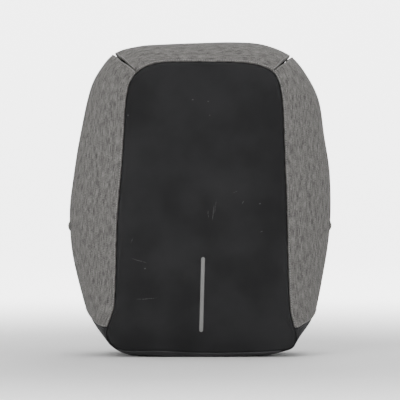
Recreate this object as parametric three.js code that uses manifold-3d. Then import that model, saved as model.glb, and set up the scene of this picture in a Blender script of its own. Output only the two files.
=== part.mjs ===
// A backpack that opens only at the wearer's back, standing on its base.
// A smooth dark front panel is framed by padded grey side panels and a grey top panel, which part at two
// slits in the top corners. A dark base closes the foot. A zip runs round the back edge, and the dark back
// board carries pads, two shoulder straps and a grab handle.
//
// Frame: millimetres, +X to the right as seen from the front, +Y towards the wearer's back, +Z up.
// The origin is the middle of the flat underside of the base.
import * as THREE from "three";
import Module from "manifold-3d";

// Overall form
const HEIGHT = 440; // floor to the crown of the top panel
const WIDTH = 370; // across the widest line of the sides
const FRONT_REACH = 66; // front seam ahead of the middle, at the foot
const FRONT_LEAN = 30; // how far the front seam falls back over the whole height
const FRONT_CROWN = 14; // how far the front panel swells past its seam
const TOE_ROUND = 9; // how far the foot of the front panel turns under
const TOE_HEIGHT = 16; // height over which that turn fades
const RIM_DEPTH = 12; // the widest line, behind the middle
const BACK_DEPTH = 52; // the zip's plane, behind the middle

// Walls and seams
const SHELL_WALL = 4; // foam-backed cloth of the sides and top
const FRONT_WALL = 4.5; // stiffened front panel
const BASE_WALL = 4;
const BOARD_WALL = 6; // back board
const BOARD_PROUD = 2; // back board's outer face past the zip's plane
const SEAM_GAP = 0.4; // between pieces sewn edge to edge
const SEAT_GAP = 0.3; // between a piece and what it lies on

// Corner slits and what closes them
const SLIT_AT_SEAM = 0.6;
const SLIT_AT_RIM = 4.6;
const SLIT_AT_ZIP = 1.2;
const FOLD_DEPTH = 15; // how deep the gusset folds in at the widest line
const FOLD_REACH = 9; // how far the gusset runs under the panels, to each side
const FOLD_CLEAR = 0.8; // under the panels, whose inner sides are faceted
const GUSSET_WALL = 1.2;

// Side edges
const SIDE_INSET = 24; // widest line to zip, across
const END_INSET = 14; // widest line to zip, up and down
const TIP_STATIONS = 0.32; // how far a side panel's lower tip bulges, in stations
const CLIMB_STATIONS_RIGHT = 0.1; // how far its line with the base climbs again at the widest line
const CLIMB_STATIONS_LEFT = 0.34;
const TAB_LENGTH = 9; // folded tab sewn in at the widest line
const TAB_PROUD = 2.2;
const TAB_HEIGHT = 180; // height of the tabs above the floor

// Zip
const ZIP_WIDTH = 11;
const TAPE_WALL = 1.4;
const CHAIN_WIDTH = 3.4;
const CHAIN_PROUD = 1.8;
const SLIDER_LENGTH = 10;
const SLIDER_WIDTH = 8.4;
const SLIDER_PROUD = 4.6;
const SLIDER_PLACE = 14; // each slider from the middle of the top
const PULL_LENGTH = 26;
const PULL_WIDTH = 6;
const PULL_WALL = 1.6;
const PULL_SUNK = 0.2; // its face below the slider's

// Reflective strip on the front panel
const STRIP_WIDTH = 5.6;
const STRIP_LENGTH = 101;
const STRIP_WALL = 0.7;
const STRIP_HEIGHT = 87; // its middle above the floor
const STRIP_ASIDE = 1.5;
const STRIP_TILT = THREE.MathUtils.degToRad(1.5);

// Pads of the back board
const PAD_PROUD = 7;
const PAD_CHANNEL = 26; // between the two long pads
const PAD_EDGE = 1.2; // a pad's height at its edge
const LONG_PAD_WIDTH = 76;
const LONG_PAD_BELOW = 84; // top of the long pads below the board's head
const LOW_PAD_WIDTH = 176;
const LOW_PAD_ABOVE = 45; // foot of the low pad above the board's foot
const LOW_PAD_TALL = 72;
const PAD_APART = 14; // between the low pad and the long ones

// Shoulder straps
const YOKE_WIDTH = 176;
const YOKE_HEIGHT = 26;
const YOKE_WALL = 2.4;
const YOKE_LIFT = 6; // its middle above the strap's sewn end
const STRAP_ROOT_BELOW = 64; // the sewn end below the board's head
const STRAP_DROP = 222; // root to lower end
const STRAP_STANDOFF = 36; // how far the strap hangs off the board
const STRAP_APART = 58; // its middle line from the centre, at the root
const STRAP_SPREAD = 34; // how far further apart the lower ends are
const STRAP_WIDTH = 58;
const STRAP_WALL = 10;
const STRAP_ROOT_WALL = 5;
const STRAP_END_WIDTH = 33;
const STRAP_END_WALL = 3.2;
const TONGUE_LENGTH = 15; // from the strap's end to the buckle
const TONGUE_LAP = 9; // the tongue's end, turned up over the buckle
const WEB_WIDTH = 25;
const WEB_WALL = 1.6;
const TAIL_LENGTH = 62;
const BUCKLE_WIDTH = 35;
const BUCKLE_BAR = 3;
const BUCKLE_SLOT = 7; // takes the strap's tongue and the webbing
const BUCKLE_LOW_SLOT = 5;
const WEB_CLEAR = 0.9; // webbing to the buckle's face
const ANCHOR_SIZE = 30;
const ANCHOR_INSET = 13; // its middle from the board's edge
const ANCHOR_STATIONS = 0.5; // its place, in stations below the side panel's tip
const ANCHOR_WALL = 2.4;

// Grab handle
const HANDLE_SPAN = 88; // between its sewn ends
const HANDLE_BELOW = 13; // its middle below the board's head
const HANDLE_STANDOFF = 30;
const HANDLE_WIDTH = 20;
const HANDLE_WALL = 5;

// The stations round the bag as seen from the front, clockwise from the middle of the base. Across is a
// share of half the width, and up a share of the height, for the front panel's seam and the widest line.
const STATIONS = [
  { name: "base_mid", seamAcross: 0.0, seamUp: 0.011, rimAcross: 0.0, rimUp: -0.006 },
  { name: "base_right", seamAcross: 0.29, seamUp: 0.012, rimAcross: 0.298, rimUp: -0.004 },
  { name: "sole_right", seamAcross: 0.528, seamUp: 0.016, rimAcross: 0.527, rimUp: 0.004 },
  { name: "heel_right", seamAcross: 0.674, seamUp: 0.026, rimAcross: 0.658, rimUp: 0.026 },
  { name: "heel_side_right", seamAcross: 0.712, seamUp: 0.059, rimAcross: 0.76, rimUp: 0.066 },
  { name: "tip_right", seamAcross: 0.692, seamUp: 0.095, rimAcross: 0.852, rimUp: 0.113 },
  { name: "hip_right", seamAcross: 0.665, seamUp: 0.154, rimAcross: 0.893, rimUp: 0.164 },
  { name: "thigh_right", seamAcross: 0.655, seamUp: 0.242, rimAcross: 0.927, rimUp: 0.242 },
  { name: "low_right", seamAcross: 0.648, seamUp: 0.345, rimAcross: 0.97, rimUp: 0.348 },
  { name: "waist_right", seamAcross: 0.644, seamUp: 0.452, rimAcross: 0.993, rimUp: 0.46 },
  { name: "rib_right", seamAcross: 0.635, seamUp: 0.562, rimAcross: 0.986, rimUp: 0.576 },
  { name: "chest_right", seamAcross: 0.624, seamUp: 0.681, rimAcross: 0.947, rimUp: 0.692 },
  { name: "shoulder_right", seamAcross: 0.616, seamUp: 0.785, rimAcross: 0.905, rimUp: 0.804 },
  { name: "neck_right", seamAcross: 0.592, seamUp: 0.855, rimAcross: 0.818, rimUp: 0.884 },
  { name: "corner_right", seamAcross: 0.537, seamUp: 0.898, rimAcross: 0.688, rimUp: 0.954 },
  { name: "crown_right", seamAcross: 0.405, seamUp: 0.921, rimAcross: 0.481, rimUp: 0.99 },
  { name: "top_right", seamAcross: 0.24, seamUp: 0.928, rimAcross: 0.26, rimUp: 0.999 },
  { name: "top_mid", seamAcross: 0.0, seamUp: 0.929, rimAcross: 0.0, rimUp: 0.998 },
  { name: "top_left", seamAcross: -0.233, seamUp: 0.929, rimAcross: -0.275, rimUp: 0.993 },
  { name: "crown_left", seamAcross: -0.383, seamUp: 0.919, rimAcross: -0.481, rimUp: 0.986 },
  { name: "corner_left", seamAcross: -0.478, seamUp: 0.896, rimAcross: -0.665, rimUp: 0.962 },
  { name: "neck_left", seamAcross: -0.54, seamUp: 0.855, rimAcross: -0.802, rimUp: 0.894 },
  { name: "shoulder_left", seamAcross: -0.567, seamUp: 0.785, rimAcross: -0.874, rimUp: 0.811 },
  { name: "chest_left", seamAcross: -0.58, seamUp: 0.681, rimAcross: -0.928, rimUp: 0.692 },
  { name: "rib_left", seamAcross: -0.6, seamUp: 0.562, rimAcross: -0.974, rimUp: 0.57 },
  { name: "waist_left", seamAcross: -0.623, seamUp: 0.452, rimAcross: -1.004, rimUp: 0.451 },
  { name: "low_left", seamAcross: -0.632, seamUp: 0.345, rimAcross: -0.992, rimUp: 0.342 },
  { name: "thigh_left", seamAcross: -0.638, seamUp: 0.242, rimAcross: -0.941, rimUp: 0.235 },
  { name: "hip_left", seamAcross: -0.649, seamUp: 0.158, rimAcross: -0.888, rimUp: 0.157 },
  { name: "tip_left", seamAcross: -0.694, seamUp: 0.098, rimAcross: -0.834, rimUp: 0.11 },
  { name: "heel_side_left", seamAcross: -0.7, seamUp: 0.061, rimAcross: -0.735, rimUp: 0.058 },
  { name: "heel_left", seamAcross: -0.651, seamUp: 0.031, rimAcross: -0.648, rimUp: 0.025 },
  { name: "sole_left", seamAcross: -0.543, seamUp: 0.017, rimAcross: -0.54, rimUp: 0.003 },
  { name: "base_left", seamAcross: -0.29, seamUp: 0.017, rimAcross: -0.298, rimUp: -0.005 },
];

// The shoulder strap's middle line: fall as a share of its drop, out of its stand-off and apart of its spread.
const STRAP_ROUTE = [
  { fall: 0.0, out: 0.0, apart: 0.0 },
  { fall: -0.05, out: 0.02, apart: 0.0 },
  { fall: -0.105, out: 0.16, apart: 0.0 },
  { fall: -0.135, out: 0.48, apart: 0.01 },
  { fall: -0.1, out: 0.78, apart: 0.03 },
  { fall: 0.0, out: 0.96, apart: 0.08 },
  { fall: 0.22, out: 1.0, apart: 0.26 },
  { fall: 0.48, out: 0.97, apart: 0.52 },
  { fall: 0.74, out: 0.84, apart: 0.79 },
  { fall: 0.94, out: 0.64, apart: 1.0 },
];

const COUNT = STATIONS.length;
const stationOf = (name) => STATIONS.findIndex((row) => row.name === name);
const TIP_RIGHT = stationOf("tip_right");
const CORNER_RIGHT = stationOf("corner_right");
const TOP_MID = stationOf("top_mid");
const CORNER_LEFT = stationOf("corner_left");
const TIP_LEFT = stationOf("tip_left");

const RIM_SHARE = 0.6; // where round the profile the widest line lies, from the seam at 0 to the zip at 1
const BOARD_SHARE = 1.2; // where the back board begins
const MIDDLE_SHARE = 0.47; // the height, as a share, that the stations are drawn in towards

const grey = new THREE.MeshStandardMaterial({ color: 0x7d7c79, roughness: 0.92 });
const dark = new THREE.MeshStandardMaterial({ color: 0x2a2a2b, roughness: 0.6 });
const mesh3d = new THREE.MeshStandardMaterial({ color: 0x1c1c1d, roughness: 0.95 });
const webbing = new THREE.MeshStandardMaterial({ color: 0x1a1a1b, roughness: 0.85 });
const plastic = new THREE.MeshStandardMaterial({ color: 0x161617, roughness: 0.45 });
const gunmetal = new THREE.MeshStandardMaterial({ color: 0x3a3a3c, roughness: 0.35, metalness: 0.9 });
const reflective = new THREE.MeshStandardMaterial({ color: 0x9a9b98, roughness: 0.4, metalness: 0.2 });

const group = new THREE.Group();
const wasm = await Module();
wasm.setup();

// A closed curve through one pair of columns of the stations, in the front view's plane.
function stationLoop(across, up) {
  const points = STATIONS.map(
    (row) => new THREE.Vector3((row[across] * WIDTH) / 2, 0, row[up] * HEIGHT),
  );
  return new THREE.CatmullRomCurve3(points, true, "catmullrom", 0.5);
}

const SEAM_LOOP = stationLoop("seamAcross", "seamUp");
const RIM_LOOP = stationLoop("rimAcross", "rimUp");
const MIDDLE = new THREE.Vector3(0, 0, MIDDLE_SHARE * HEIGHT);

// A loop's point at a station number, which may pass the last one.
function at(loop, station) {
  return loop.getPoint(THREE.MathUtils.euclideanModulo(station, COUNT) / COUNT);
}

// The front panel's depth at a place in the front view: a leaning face with a crown, turned under at the foot.
function frontDepth(x, z) {
  const lean = FRONT_LEAN * (z / HEIGHT) ** 2;
  const acrossShare = x / (0.65 * (WIDTH / 2));
  const upShare = (z / HEIGHT - MIDDLE_SHARE) / 0.5;
  const crown = FRONT_CROWN * (1 - acrossShare ** 2) * (1 - upShare ** 2);
  const toe = TOE_ROUND * Math.exp(-z / TOE_HEIGHT);
  return -FRONT_REACH + lean - crown + toe;
}

// The front panel's outward normal there, from the slopes of its depth.
function frontNormal(x, z) {
  const step = 0.5;
  const slopeX = (frontDepth(x + step, z) - frontDepth(x - step, z)) / (2 * step);
  const slopeZ = (frontDepth(x, z + step) - frontDepth(x, z - step)) / (2 * step);
  return new THREE.Vector3(slopeX, -1, slopeZ).normalize();
}

// The seam between front panel and shell, moved out from the middle by an offset.
function seamPoint(station, offset) {
  const p = at(SEAM_LOOP, station);
  p.addScaledVector(p.clone().sub(MIDDLE).normalize(), offset);
  p.y = frontDepth(p.x, p.z);
  return p;
}

// The zip's outer edge, drawn in from the widest line.
function zipEdge(station) {
  const rim = at(RIM_LOOP, station);
  const out = rim.clone().sub(MIDDLE).normalize();
  return new THREE.Vector3(rim.x - out.x * SIDE_INSET, BACK_DEPTH, rim.z - out.z * END_INSET);
}

// The back board's edge, one zip's width further in.
function boardEdge(station, inset = 0) {
  const edge = zipEdge(station);
  const flat = edge.clone().setY(0).sub(MIDDLE).normalize();
  return edge.addScaledVector(flat, -(ZIP_WIDTH + inset));
}

// The board's upper and lower ends on its middle line.
const BOARD_HEAD = boardEdge(TOP_MID).z;
const BOARD_FOOT = boardEdge(0).z;
const STRAP_ROOT = BOARD_HEAD - STRAP_ROOT_BELOW;

// The shell's outer surface. Round the bag it follows the stations. From seam to zip it is two quarter
// superellipses that meet at the widest line, squarer at the base, and then a flat strip to the back board.
// What would reach below the floor is flattened on it.
function shellPoint(station, t) {
  const rim = at(RIM_LOOP, station);
  const downward = Math.max(0, -rim.clone().sub(MIDDLE).normalize().z);
  const squareness = 1.55 + 3.2 * downward ** 6;
  let p;
  if (t <= RIM_SHARE) {
    const seam = seamPoint(station, SEAM_GAP / 2);
    const turn = ((t / RIM_SHARE) * Math.PI) / 2;
    const outShare = Math.sin(turn) ** (2 / squareness);
    const backShare = 1 - Math.max(0, Math.cos(turn)) ** (2 / squareness);
    p = seam.clone().lerp(rim, outShare);
    p.y = THREE.MathUtils.lerp(seam.y, RIM_DEPTH, backShare);
  } else if (t <= 1) {
    const edge = zipEdge(station);
    const turn = (((t - RIM_SHARE) / (1 - RIM_SHARE)) * Math.PI) / 2;
    const rearSquareness = 2.2 + 1.2 * downward ** 6;
    p = rim.lerp(edge, 1 - Math.max(0, Math.cos(turn)) ** (2 / rearSquareness));
    p.y = THREE.MathUtils.lerp(RIM_DEPTH, BACK_DEPTH, Math.sin(turn) ** (2 / rearSquareness));
  } else {
    const share = (t - 1) / (BOARD_SHARE - 1);
    p = zipEdge(station).lerp(boardEdge(station), share);
  }
  p.z = Math.max(p.z, 0);
  return p;
}

// The shell's outward normal, from its slopes along the stations and across the profile.
function shellNormal(station, t) {
  if (t < 0.02) {
    const seam = seamPoint(station, 0);
    return frontNormal(seam.x, seam.z);
  }
  if (t > 0.98) return new THREE.Vector3(0, 1, 0);
  const alongStations = shellPoint(station + 0.2, t).sub(shellPoint(station - 0.2, t));
  const acrossProfile = shellPoint(station, Math.min(t + 0.03, 1)).sub(
    shellPoint(station, Math.max(t - 0.03, 0)),
  );
  return acrossProfile.cross(alongStations).normalize();
}

// A distance along the stations, in stations, at a place on the shell.
function stationsFor(distance, station, t) {
  const step = 0.2;
  const pace = shellPoint(station + step, t).distanceTo(shellPoint(station - step, t)) / (2 * step);
  return distance / pace;
}

// A BufferGeometry from points and triangles, turned so that its faces point out.
function solidGeometry(points, faces) {
  const volume = faces.reduce((sum, [a, b, c]) => {
    const normal = points[b].clone().cross(points[c]);
    return sum + points[a].dot(normal);
  }, 0);
  const index = faces.flatMap(([a, b, c]) => (volume < 0 ? [a, c, b] : [a, b, c]));
  const geometry = new THREE.BufferGeometry().setFromPoints(points);
  geometry.setIndex(index);
  geometry.computeVertexNormals();
  return geometry;
}

// The two triangles of a quad.
const quad = (a, b, c, d) => [
  [a, b, c],
  [a, c, d],
];

// A closed solid between an outer and an inner grid of points, each grid[row][column].
function thickPatch(outer, inner) {
  const rows = outer.length;
  const columns = outer[0].length;
  const points = [...outer.flat(), ...inner.flat()];
  const top = (i, j) => i * columns + j;
  const under = (i, j) => rows * columns + top(i, j);
  const faces = [];
  for (let i = 0; i + 1 < rows; i++) {
    for (let j = 0; j + 1 < columns; j++) {
      faces.push(...quad(top(i, j), top(i, j + 1), top(i + 1, j + 1), top(i + 1, j)));
      faces.push(...quad(under(i, j), under(i + 1, j), under(i + 1, j + 1), under(i, j + 1)));
    }
  }
  for (let j = 0; j + 1 < columns; j++) {
    const last = rows - 1;
    faces.push(...quad(top(0, j), under(0, j), under(0, j + 1), top(0, j + 1)));
    faces.push(...quad(top(last, j), top(last, j + 1), under(last, j + 1), under(last, j)));
  }
  for (let i = 0; i + 1 < rows; i++) {
    const last = columns - 1;
    faces.push(...quad(top(i, 0), top(i + 1, 0), under(i + 1, 0), under(i, 0)));
    faces.push(...quad(top(i, last), under(i, last), under(i + 1, last), top(i + 1, last)));
  }
  return solidGeometry(points, faces);
}

// A closed solid between two caps that fill a loop: rings drawn in to a middle point.
function thickCap(outerAt, innerAt, around, rings) {
  const points = [];
  const ringStart = (side, ring) => (side * rings + ring) * around;
  for (const place of [outerAt, innerAt]) {
    for (let ring = 0; ring < rings; ring++) {
      for (let i = 0; i < around; i++) points.push(place(i / around, 1 - ring / rings));
    }
  }
  const middles = [points.push(outerAt(0, 0)) - 1, points.push(innerAt(0, 0)) - 1];
  const faces = [];
  for (let i = 0; i < around; i++) {
    const next = (i + 1) % around;
    for (let side = 0; side < 2; side++) {
      const turn = side ? ([a, b, c]) => [a, c, b] : (face) => face;
      for (let ring = 0; ring + 1 < rings; ring++) {
        const a = ringStart(side, ring);
        const b = ringStart(side, ring + 1);
        faces.push(...quad(a + i, a + next, b + next, b + i).map(turn));
      }
      const inmost = ringStart(side, rings - 1);
      faces.push(turn([inmost + i, inmost + next, middles[side]]));
    }
    const edge = ringStart(1, 0);
    faces.push(...quad(i, edge + i, edge + next, next));
  }
  return solidGeometry(points, faces);
}

// A closed solid from rings of points, each joined to the next, with a flat cap at each end.
function sweptSolid(rings) {
  const around = rings[0].length;
  const points = rings.flat();
  const faces = [];
  for (let i = 0; i + 1 < rings.length; i++) {
    for (let j = 0; j < around; j++) {
      const next = (j + 1) % around;
      const here = i * around;
      faces.push(...quad(here + j, here + next, here + around + next, here + around + j));
    }
  }
  const caps = [rings[0], rings.at(-1)].map((ring) => {
    const middle = ring.reduce((sum, p) => sum.add(p), new THREE.Vector3()).divideScalar(around);
    return points.push(middle) - 1;
  });
  const lastRing = (rings.length - 1) * around;
  for (let j = 0; j < around; j++) {
    const next = (j + 1) % around;
    faces.push([next, j, caps[0]], [lastRing + j, lastRing + next, caps[1]]);
  }
  return solidGeometry(points, faces);
}

// A strap along a path: each step has a place, a width, a thickness and the direction its width runs in,
// as near as the path allows. Its section is a rounded rectangle of a given number of corners.
function strapSolid(path, corners, roundness) {
  const rings = path.map((step, i) => {
    const before = path[Math.max(i - 1, 0)].place;
    const after = path[Math.min(i + 1, path.length - 1)].place;
    const along = after.clone().sub(before).normalize();
    const across = step.across.clone().addScaledVector(along, -step.across.dot(along)).normalize();
    const off = across.clone().cross(along);
    const ring = [];
    for (let k = 0; k < corners; k++) {
      const angle = ((k + 0.5) / corners) * 2 * Math.PI;
      const w = Math.sign(Math.cos(angle)) * Math.abs(Math.cos(angle)) ** (1 / roundness);
      const h = Math.sign(Math.sin(angle)) * Math.abs(Math.sin(angle)) ** (1 / roundness);
      const corner = step.place.clone().addScaledVector(across, (w * step.width) / 2);
      ring.push(corner.addScaledVector(off, (h * step.wall) / 2));
    }
    return ring;
  });
  return sweptSolid(rings);
}

// A box's corner factor that makes a four-cornered section come out at its full width and thickness.
const SQUARE_ROUNDNESS = 400;

// Adds one named piece to the bag.
function add(name, geometry, material) {
  const piece = new THREE.Mesh(geometry, material);
  piece.name = name;
  group.add(piece);
  return piece;
}

// The shell's inner side under a place. Along the front seam it keeps behind the front panel's inner face,
// and over the floor it keeps to the base's wall.
function shellUnder(station, t, wall) {
  const place = shellPoint(station, t);
  const clear = FRONT_WALL + 2 * SEAM_GAP;
  const under = place.clone().addScaledVector(shellNormal(station, t), t > 0 ? -wall : -clear);
  if (t > 0) under.y = Math.max(under.y, frontDepth(under.x, under.z) + clear);
  if (place.z < wall) under.z = Math.max(under.z, wall);
  return under;
}

// A panel of the shell between two ends, both given as functions of t, with a row at every half station.
function shellPanel(startAt, endAt, tRows, wall) {
  const first = Math.floor(Math.max(...tRows.map(startAt)) * 2 + 1) / 2;
  const last = Math.ceil(Math.min(...tRows.map(endAt)) * 2 - 1) / 2;
  const rows = [startAt];
  for (let station = first; station <= last; station += 0.5) rows.push(() => station);
  rows.push(endAt);
  const outer = rows.map((row) => tRows.map((t) => shellPoint(row(t), t)));
  const inner = rows.map((row) => tRows.map((t) => shellUnder(row(t), t, wall)));
  return thickPatch(outer, inner);
}

const SHELL_ROWS = [0, 0.08, 0.18, 0.3, 0.42, 0.52, 0.6, 0.68, 0.78, 0.89, 1];
const BASE_ROWS = [0, 0.06, 0.16, 0.3, 0.46, 0.6, 0.74, 0.86, 0.94, 1, BOARD_SHARE];

// The slit's width at t: a hairline by the seam, widest at the widest line, closing towards the zip.
function slitWidth(t) {
  const share = Math.min(t / RIM_SHARE, 1);
  if (t <= RIM_SHARE) return THREE.MathUtils.lerp(SLIT_AT_SEAM, SLIT_AT_RIM, share ** 1.4);
  return THREE.MathUtils.lerp(SLIT_AT_RIM, SLIT_AT_ZIP, (t - RIM_SHARE) / (1 - RIM_SHARE));
}

// Where a panel ends at a slit. The side is -1 below the slit's station and +1 above it.
function slitEnd(corner, side) {
  return (t) => corner + side * stationsFor(slitWidth(t) / 2, corner, t);
}

// Where a side panel meets the base: its tip bulges down between seam and widest line, where the line has
// climbed again, and it falls back towards the zip. Down is the way that the stations run there.
function tipEnd(tip, down, climb, gapSide) {
  return (t) => {
    const bulge = t < RIM_SHARE ? TIP_STATIONS * Math.sin((Math.PI * t) / RIM_SHARE) : 0;
    const fallen = THREE.MathUtils.smoothstep(t, RIM_SHARE, 1);
    const rise = climb * Math.min(t / RIM_SHARE, 1) ** 3 * (1 - fallen);
    return tip + down * (bulge - rise) + gapSide * stationsFor(SEAM_GAP / 2, tip, t);
  };
}

function addFrontPanel() {
  const around = COUNT * 2;
  const rings = 5;
  const outer = (share, r) => {
    const edge = seamPoint(share * COUNT, -SEAM_GAP / 2);
    const p = MIDDLE.clone().lerp(edge, r);
    p.y = frontDepth(p.x, p.z);
    return p;
  };
  const inner = (share, r) => {
    const p = outer(share, r);
    return p.addScaledVector(frontNormal(p.x, p.z), -FRONT_WALL);
  };
  add("front_panel", thickCap(outer, inner, around, rings), dark);
}

function addShell() {
  const slits = [slitEnd(CORNER_RIGHT, -1), slitEnd(CORNER_RIGHT, 1), slitEnd(CORNER_LEFT, -1)];
  const rightTip = (gapSide) => tipEnd(TIP_RIGHT, -1, CLIMB_STATIONS_RIGHT, gapSide);
  const leftTip = (gapSide) => tipEnd(TIP_LEFT, 1, CLIMB_STATIONS_LEFT, gapSide);
  const rightSide = shellPanel(rightTip(1), slits[0], SHELL_ROWS, SHELL_WALL);
  const top = shellPanel(slits[1], slits[2], SHELL_ROWS, SHELL_WALL);
  const lastSlit = slitEnd(CORNER_LEFT, 1);
  const leftSide = shellPanel(lastSlit, leftTip(-1), SHELL_ROWS, SHELL_WALL);
  const baseEnd = rightTip(-1);
  const base = shellPanel(leftTip(1), (t) => baseEnd(t) + COUNT, BASE_ROWS, BASE_WALL);
  add("side_panel_right", rightSide, grey);
  add("top_panel", top, grey);
  add("side_panel_left", leftSide, grey);
  add("base_panel", base, dark);
}

// The folded cloth that closes a slit from inside: flat under the panels, with a valley along the slit.
function addGusset(name, corner) {
  const acrossSteps = [-1, -0.55, -0.3, 0, 0.3, 0.55, 1];
  const alongSteps = SHELL_ROWS.slice(1, -1);
  const gridAt = (deeper) =>
    alongSteps.map((t) => {
      const rimShare = 1 - Math.abs(t - RIM_SHARE) / (t < RIM_SHARE ? RIM_SHARE : 1 - RIM_SHARE);
      return acrossSteps.map((a) => {
        const station = corner + stationsFor(a * FOLD_REACH, corner, t);
        const valley = FOLD_DEPTH * rimShare * Math.max(0, 1 - Math.abs(a) / 0.55);
        const depth = SHELL_WALL + FOLD_CLEAR + valley + deeper;
        const place = shellPoint(station, t);
        return place.addScaledVector(shellNormal(station, t), -depth);
      });
    });
  add(name, thickPatch(gridAt(0), gridAt(GUSSET_WALL)), dark);
}

// The zip between shell and board: a thin tape with the closed chain standing on it, from tip to tip.
function addZip() {
  const ends = 0.04;
  const stations = [TIP_RIGHT + ends];
  for (let station = TIP_RIGHT + 0.5; station < TIP_LEFT; station += 0.5) stations.push(station);
  stations.push(TIP_LEFT - ends);
  const chainFrom = (ZIP_WIDTH - CHAIN_WIDTH) / 2;
  const chainTo = chainFrom + CHAIN_WIDTH;
  const section = [
    [SEAM_GAP, -TAPE_WALL],
    [SEAM_GAP, 0],
    [chainFrom, 0],
    [chainFrom + 0.5, CHAIN_PROUD],
    [chainTo - 0.5, CHAIN_PROUD],
    [chainTo, 0],
    [ZIP_WIDTH - SEAM_GAP, 0],
    [ZIP_WIDTH - SEAM_GAP, -TAPE_WALL],
  ];
  const rings = stations.map((station) => {
    const edge = zipEdge(station);
    const inward = boardEdge(station).sub(edge).normalize();
    return section.map(([w, h]) => {
      const p = edge.clone().addScaledVector(inward, w);
      p.y += h;
      return p;
    });
  });
  add("zip_chain", sweptSolid(rings), plastic);
}

// A closed mesh as a manifold-3d solid.
function solidOf(geometry) {
  const flat = geometry.index ? geometry.toNonIndexed() : geometry;
  const position = flat.getAttribute("position");
  const seen = new Map();
  const vertices = [];
  const triangles = [];
  for (let i = 0; i < position.count; i++) {
    const p = [position.getX(i), position.getY(i), position.getZ(i)];
    const key = p.map((value) => Math.round(value * 1e4)).join();
    if (!seen.has(key)) seen.set(key, vertices.push(p) - 1);
    triangles.push(seen.get(key));
  }
  return new wasm.Manifold(
    new wasm.Mesh({
      numProp: 3,
      vertProperties: new Float32Array(vertices.flat()),
      triVerts: new Uint32Array(triangles),
    }),
  );
}

// A manifold-3d solid as a BufferGeometry.
function geometryOf(solid) {
  const { vertProperties, triVerts } = solid.getMesh();
  const geometry = new THREE.BufferGeometry();
  geometry.setAttribute("position", new THREE.BufferAttribute(vertProperties, 3));
  geometry.setIndex(new THREE.BufferAttribute(triVerts, 1));
  geometry.computeVertexNormals();
  return geometry;
}

// A zip slider and its pull in one plain piece: a block grooved over the chain, with the pull hanging down.
function addSlider(name, side) {
  const block = new THREE.BoxGeometry(SLIDER_LENGTH, SLIDER_PROUD - SEAT_GAP, SLIDER_WIDTH);
  block.translate(0, (SLIDER_PROUD + SEAT_GAP) / 2, 0);
  const grooveDepth = CHAIN_PROUD + SEAT_GAP;
  const groove = new THREE.BoxGeometry(2 * SLIDER_LENGTH, 2 * grooveDepth, CHAIN_WIDTH + 2 * SEAT_GAP);
  const outline = new THREE.Shape();
  const half = PULL_WIDTH / 2;
  outline.moveTo(-half, 0);
  outline.lineTo(-half, half - PULL_LENGTH);
  outline.absarc(0, half - PULL_LENGTH, half, Math.PI, 2 * Math.PI);
  outline.lineTo(half, 0);
  const pull = new THREE.ExtrudeGeometry(outline, {
    depth: PULL_WALL,
    bevelEnabled: false,
    curveSegments: 5,
  });
  pull.rotateX(Math.PI / 2);
  pull.translate(0, SLIDER_PROUD - PULL_SUNK, 0);
  const solid = solidOf(block).subtract(solidOf(groove)).add(solidOf(pull));
  const station = TOP_MID + stationsFor(side * SLIDER_PLACE, TOP_MID, 1);
  const slider = add(name, geometryOf(solid), gunmetal);
  slider.position.copy(zipEdge(station).lerp(boardEdge(station), 0.5));
  const ahead = zipEdge(station + 0.2).sub(zipEdge(station - 0.2));
  slider.rotation.y = Math.atan2(ahead.z, -ahead.x);
}

function addBackBoard() {
  const face = BACK_DEPTH + BOARD_PROUD;
  const rim = (depth) => (share, r) => {
    const p = MIDDLE.clone().lerp(boardEdge(share * COUNT, SEAM_GAP), r);
    p.y = depth;
    return p;
  };
  add("back_board", thickCap(rim(face), rim(face - BOARD_WALL), COUNT * 2, 1), dark);
}

// A crowned pad on the back board, with a rounded rectangle for its outline.
function addPad(name, acrossMiddle, width, foot, head) {
  const seat = BACK_DEPTH + BOARD_PROUD + SEAT_GAP;
  const middleUp = (foot + head) / 2;
  const squareness = 5;
  const outline = (share, r) => {
    const angle = share * 2 * Math.PI;
    const c = Math.sign(Math.cos(angle)) * Math.abs(Math.cos(angle)) ** (2 / squareness);
    const s = Math.sign(Math.sin(angle)) * Math.abs(Math.sin(angle)) ** (2 / squareness);
    const x = acrossMiddle + (c * r * width) / 2;
    return new THREE.Vector3(x, 0, middleUp + (s * r * (head - foot)) / 2);
  };
  const crown = (share, r) => {
    const p = outline(share, r);
    p.y = seat + PAD_EDGE + (PAD_PROUD - PAD_EDGE) * (1 - r ** 6);
    return p;
  };
  const under = (share, r) => outline(share, r).setY(seat);
  add(name, thickCap(crown, under, 28, 4), mesh3d);
}

// The reflective strip, laid on the front panel with half-round ends and a slight tilt.
function addReflectiveStrip() {
  const steps = 10;
  const grid = (lift) => {
    const rows = [];
    for (let i = 0; i <= steps; i++) {
      const along = Math.cos((Math.PI * i) / steps) * (STRIP_LENGTH / 2);
      const fromEnd = STRIP_LENGTH / 2 - Math.abs(along);
      const radius = STRIP_WIDTH / 2;
      const inEnd = Math.max(0, radius - fromEnd) / radius;
      const half = radius * Math.max(0.3, Math.sqrt(Math.max(0, 1 - inEnd ** 2)));
      rows.push(
        [-1, 0, 1].map((side) => {
          const aside = side * half;
          const x = STRIP_ASIDE + aside * Math.cos(STRIP_TILT) + along * Math.sin(STRIP_TILT);
          const z = STRIP_HEIGHT + along * Math.cos(STRIP_TILT) - aside * Math.sin(STRIP_TILT);
          const p = new THREE.Vector3(x, frontDepth(x, z), z);
          return p.addScaledVector(frontNormal(x, z), lift);
        }),
      );
    }
    return rows;
  };
  add("reflective_strip", thickPatch(grid(SEAT_GAP + STRIP_WALL), grid(SEAT_GAP)), reflective);
}

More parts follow.
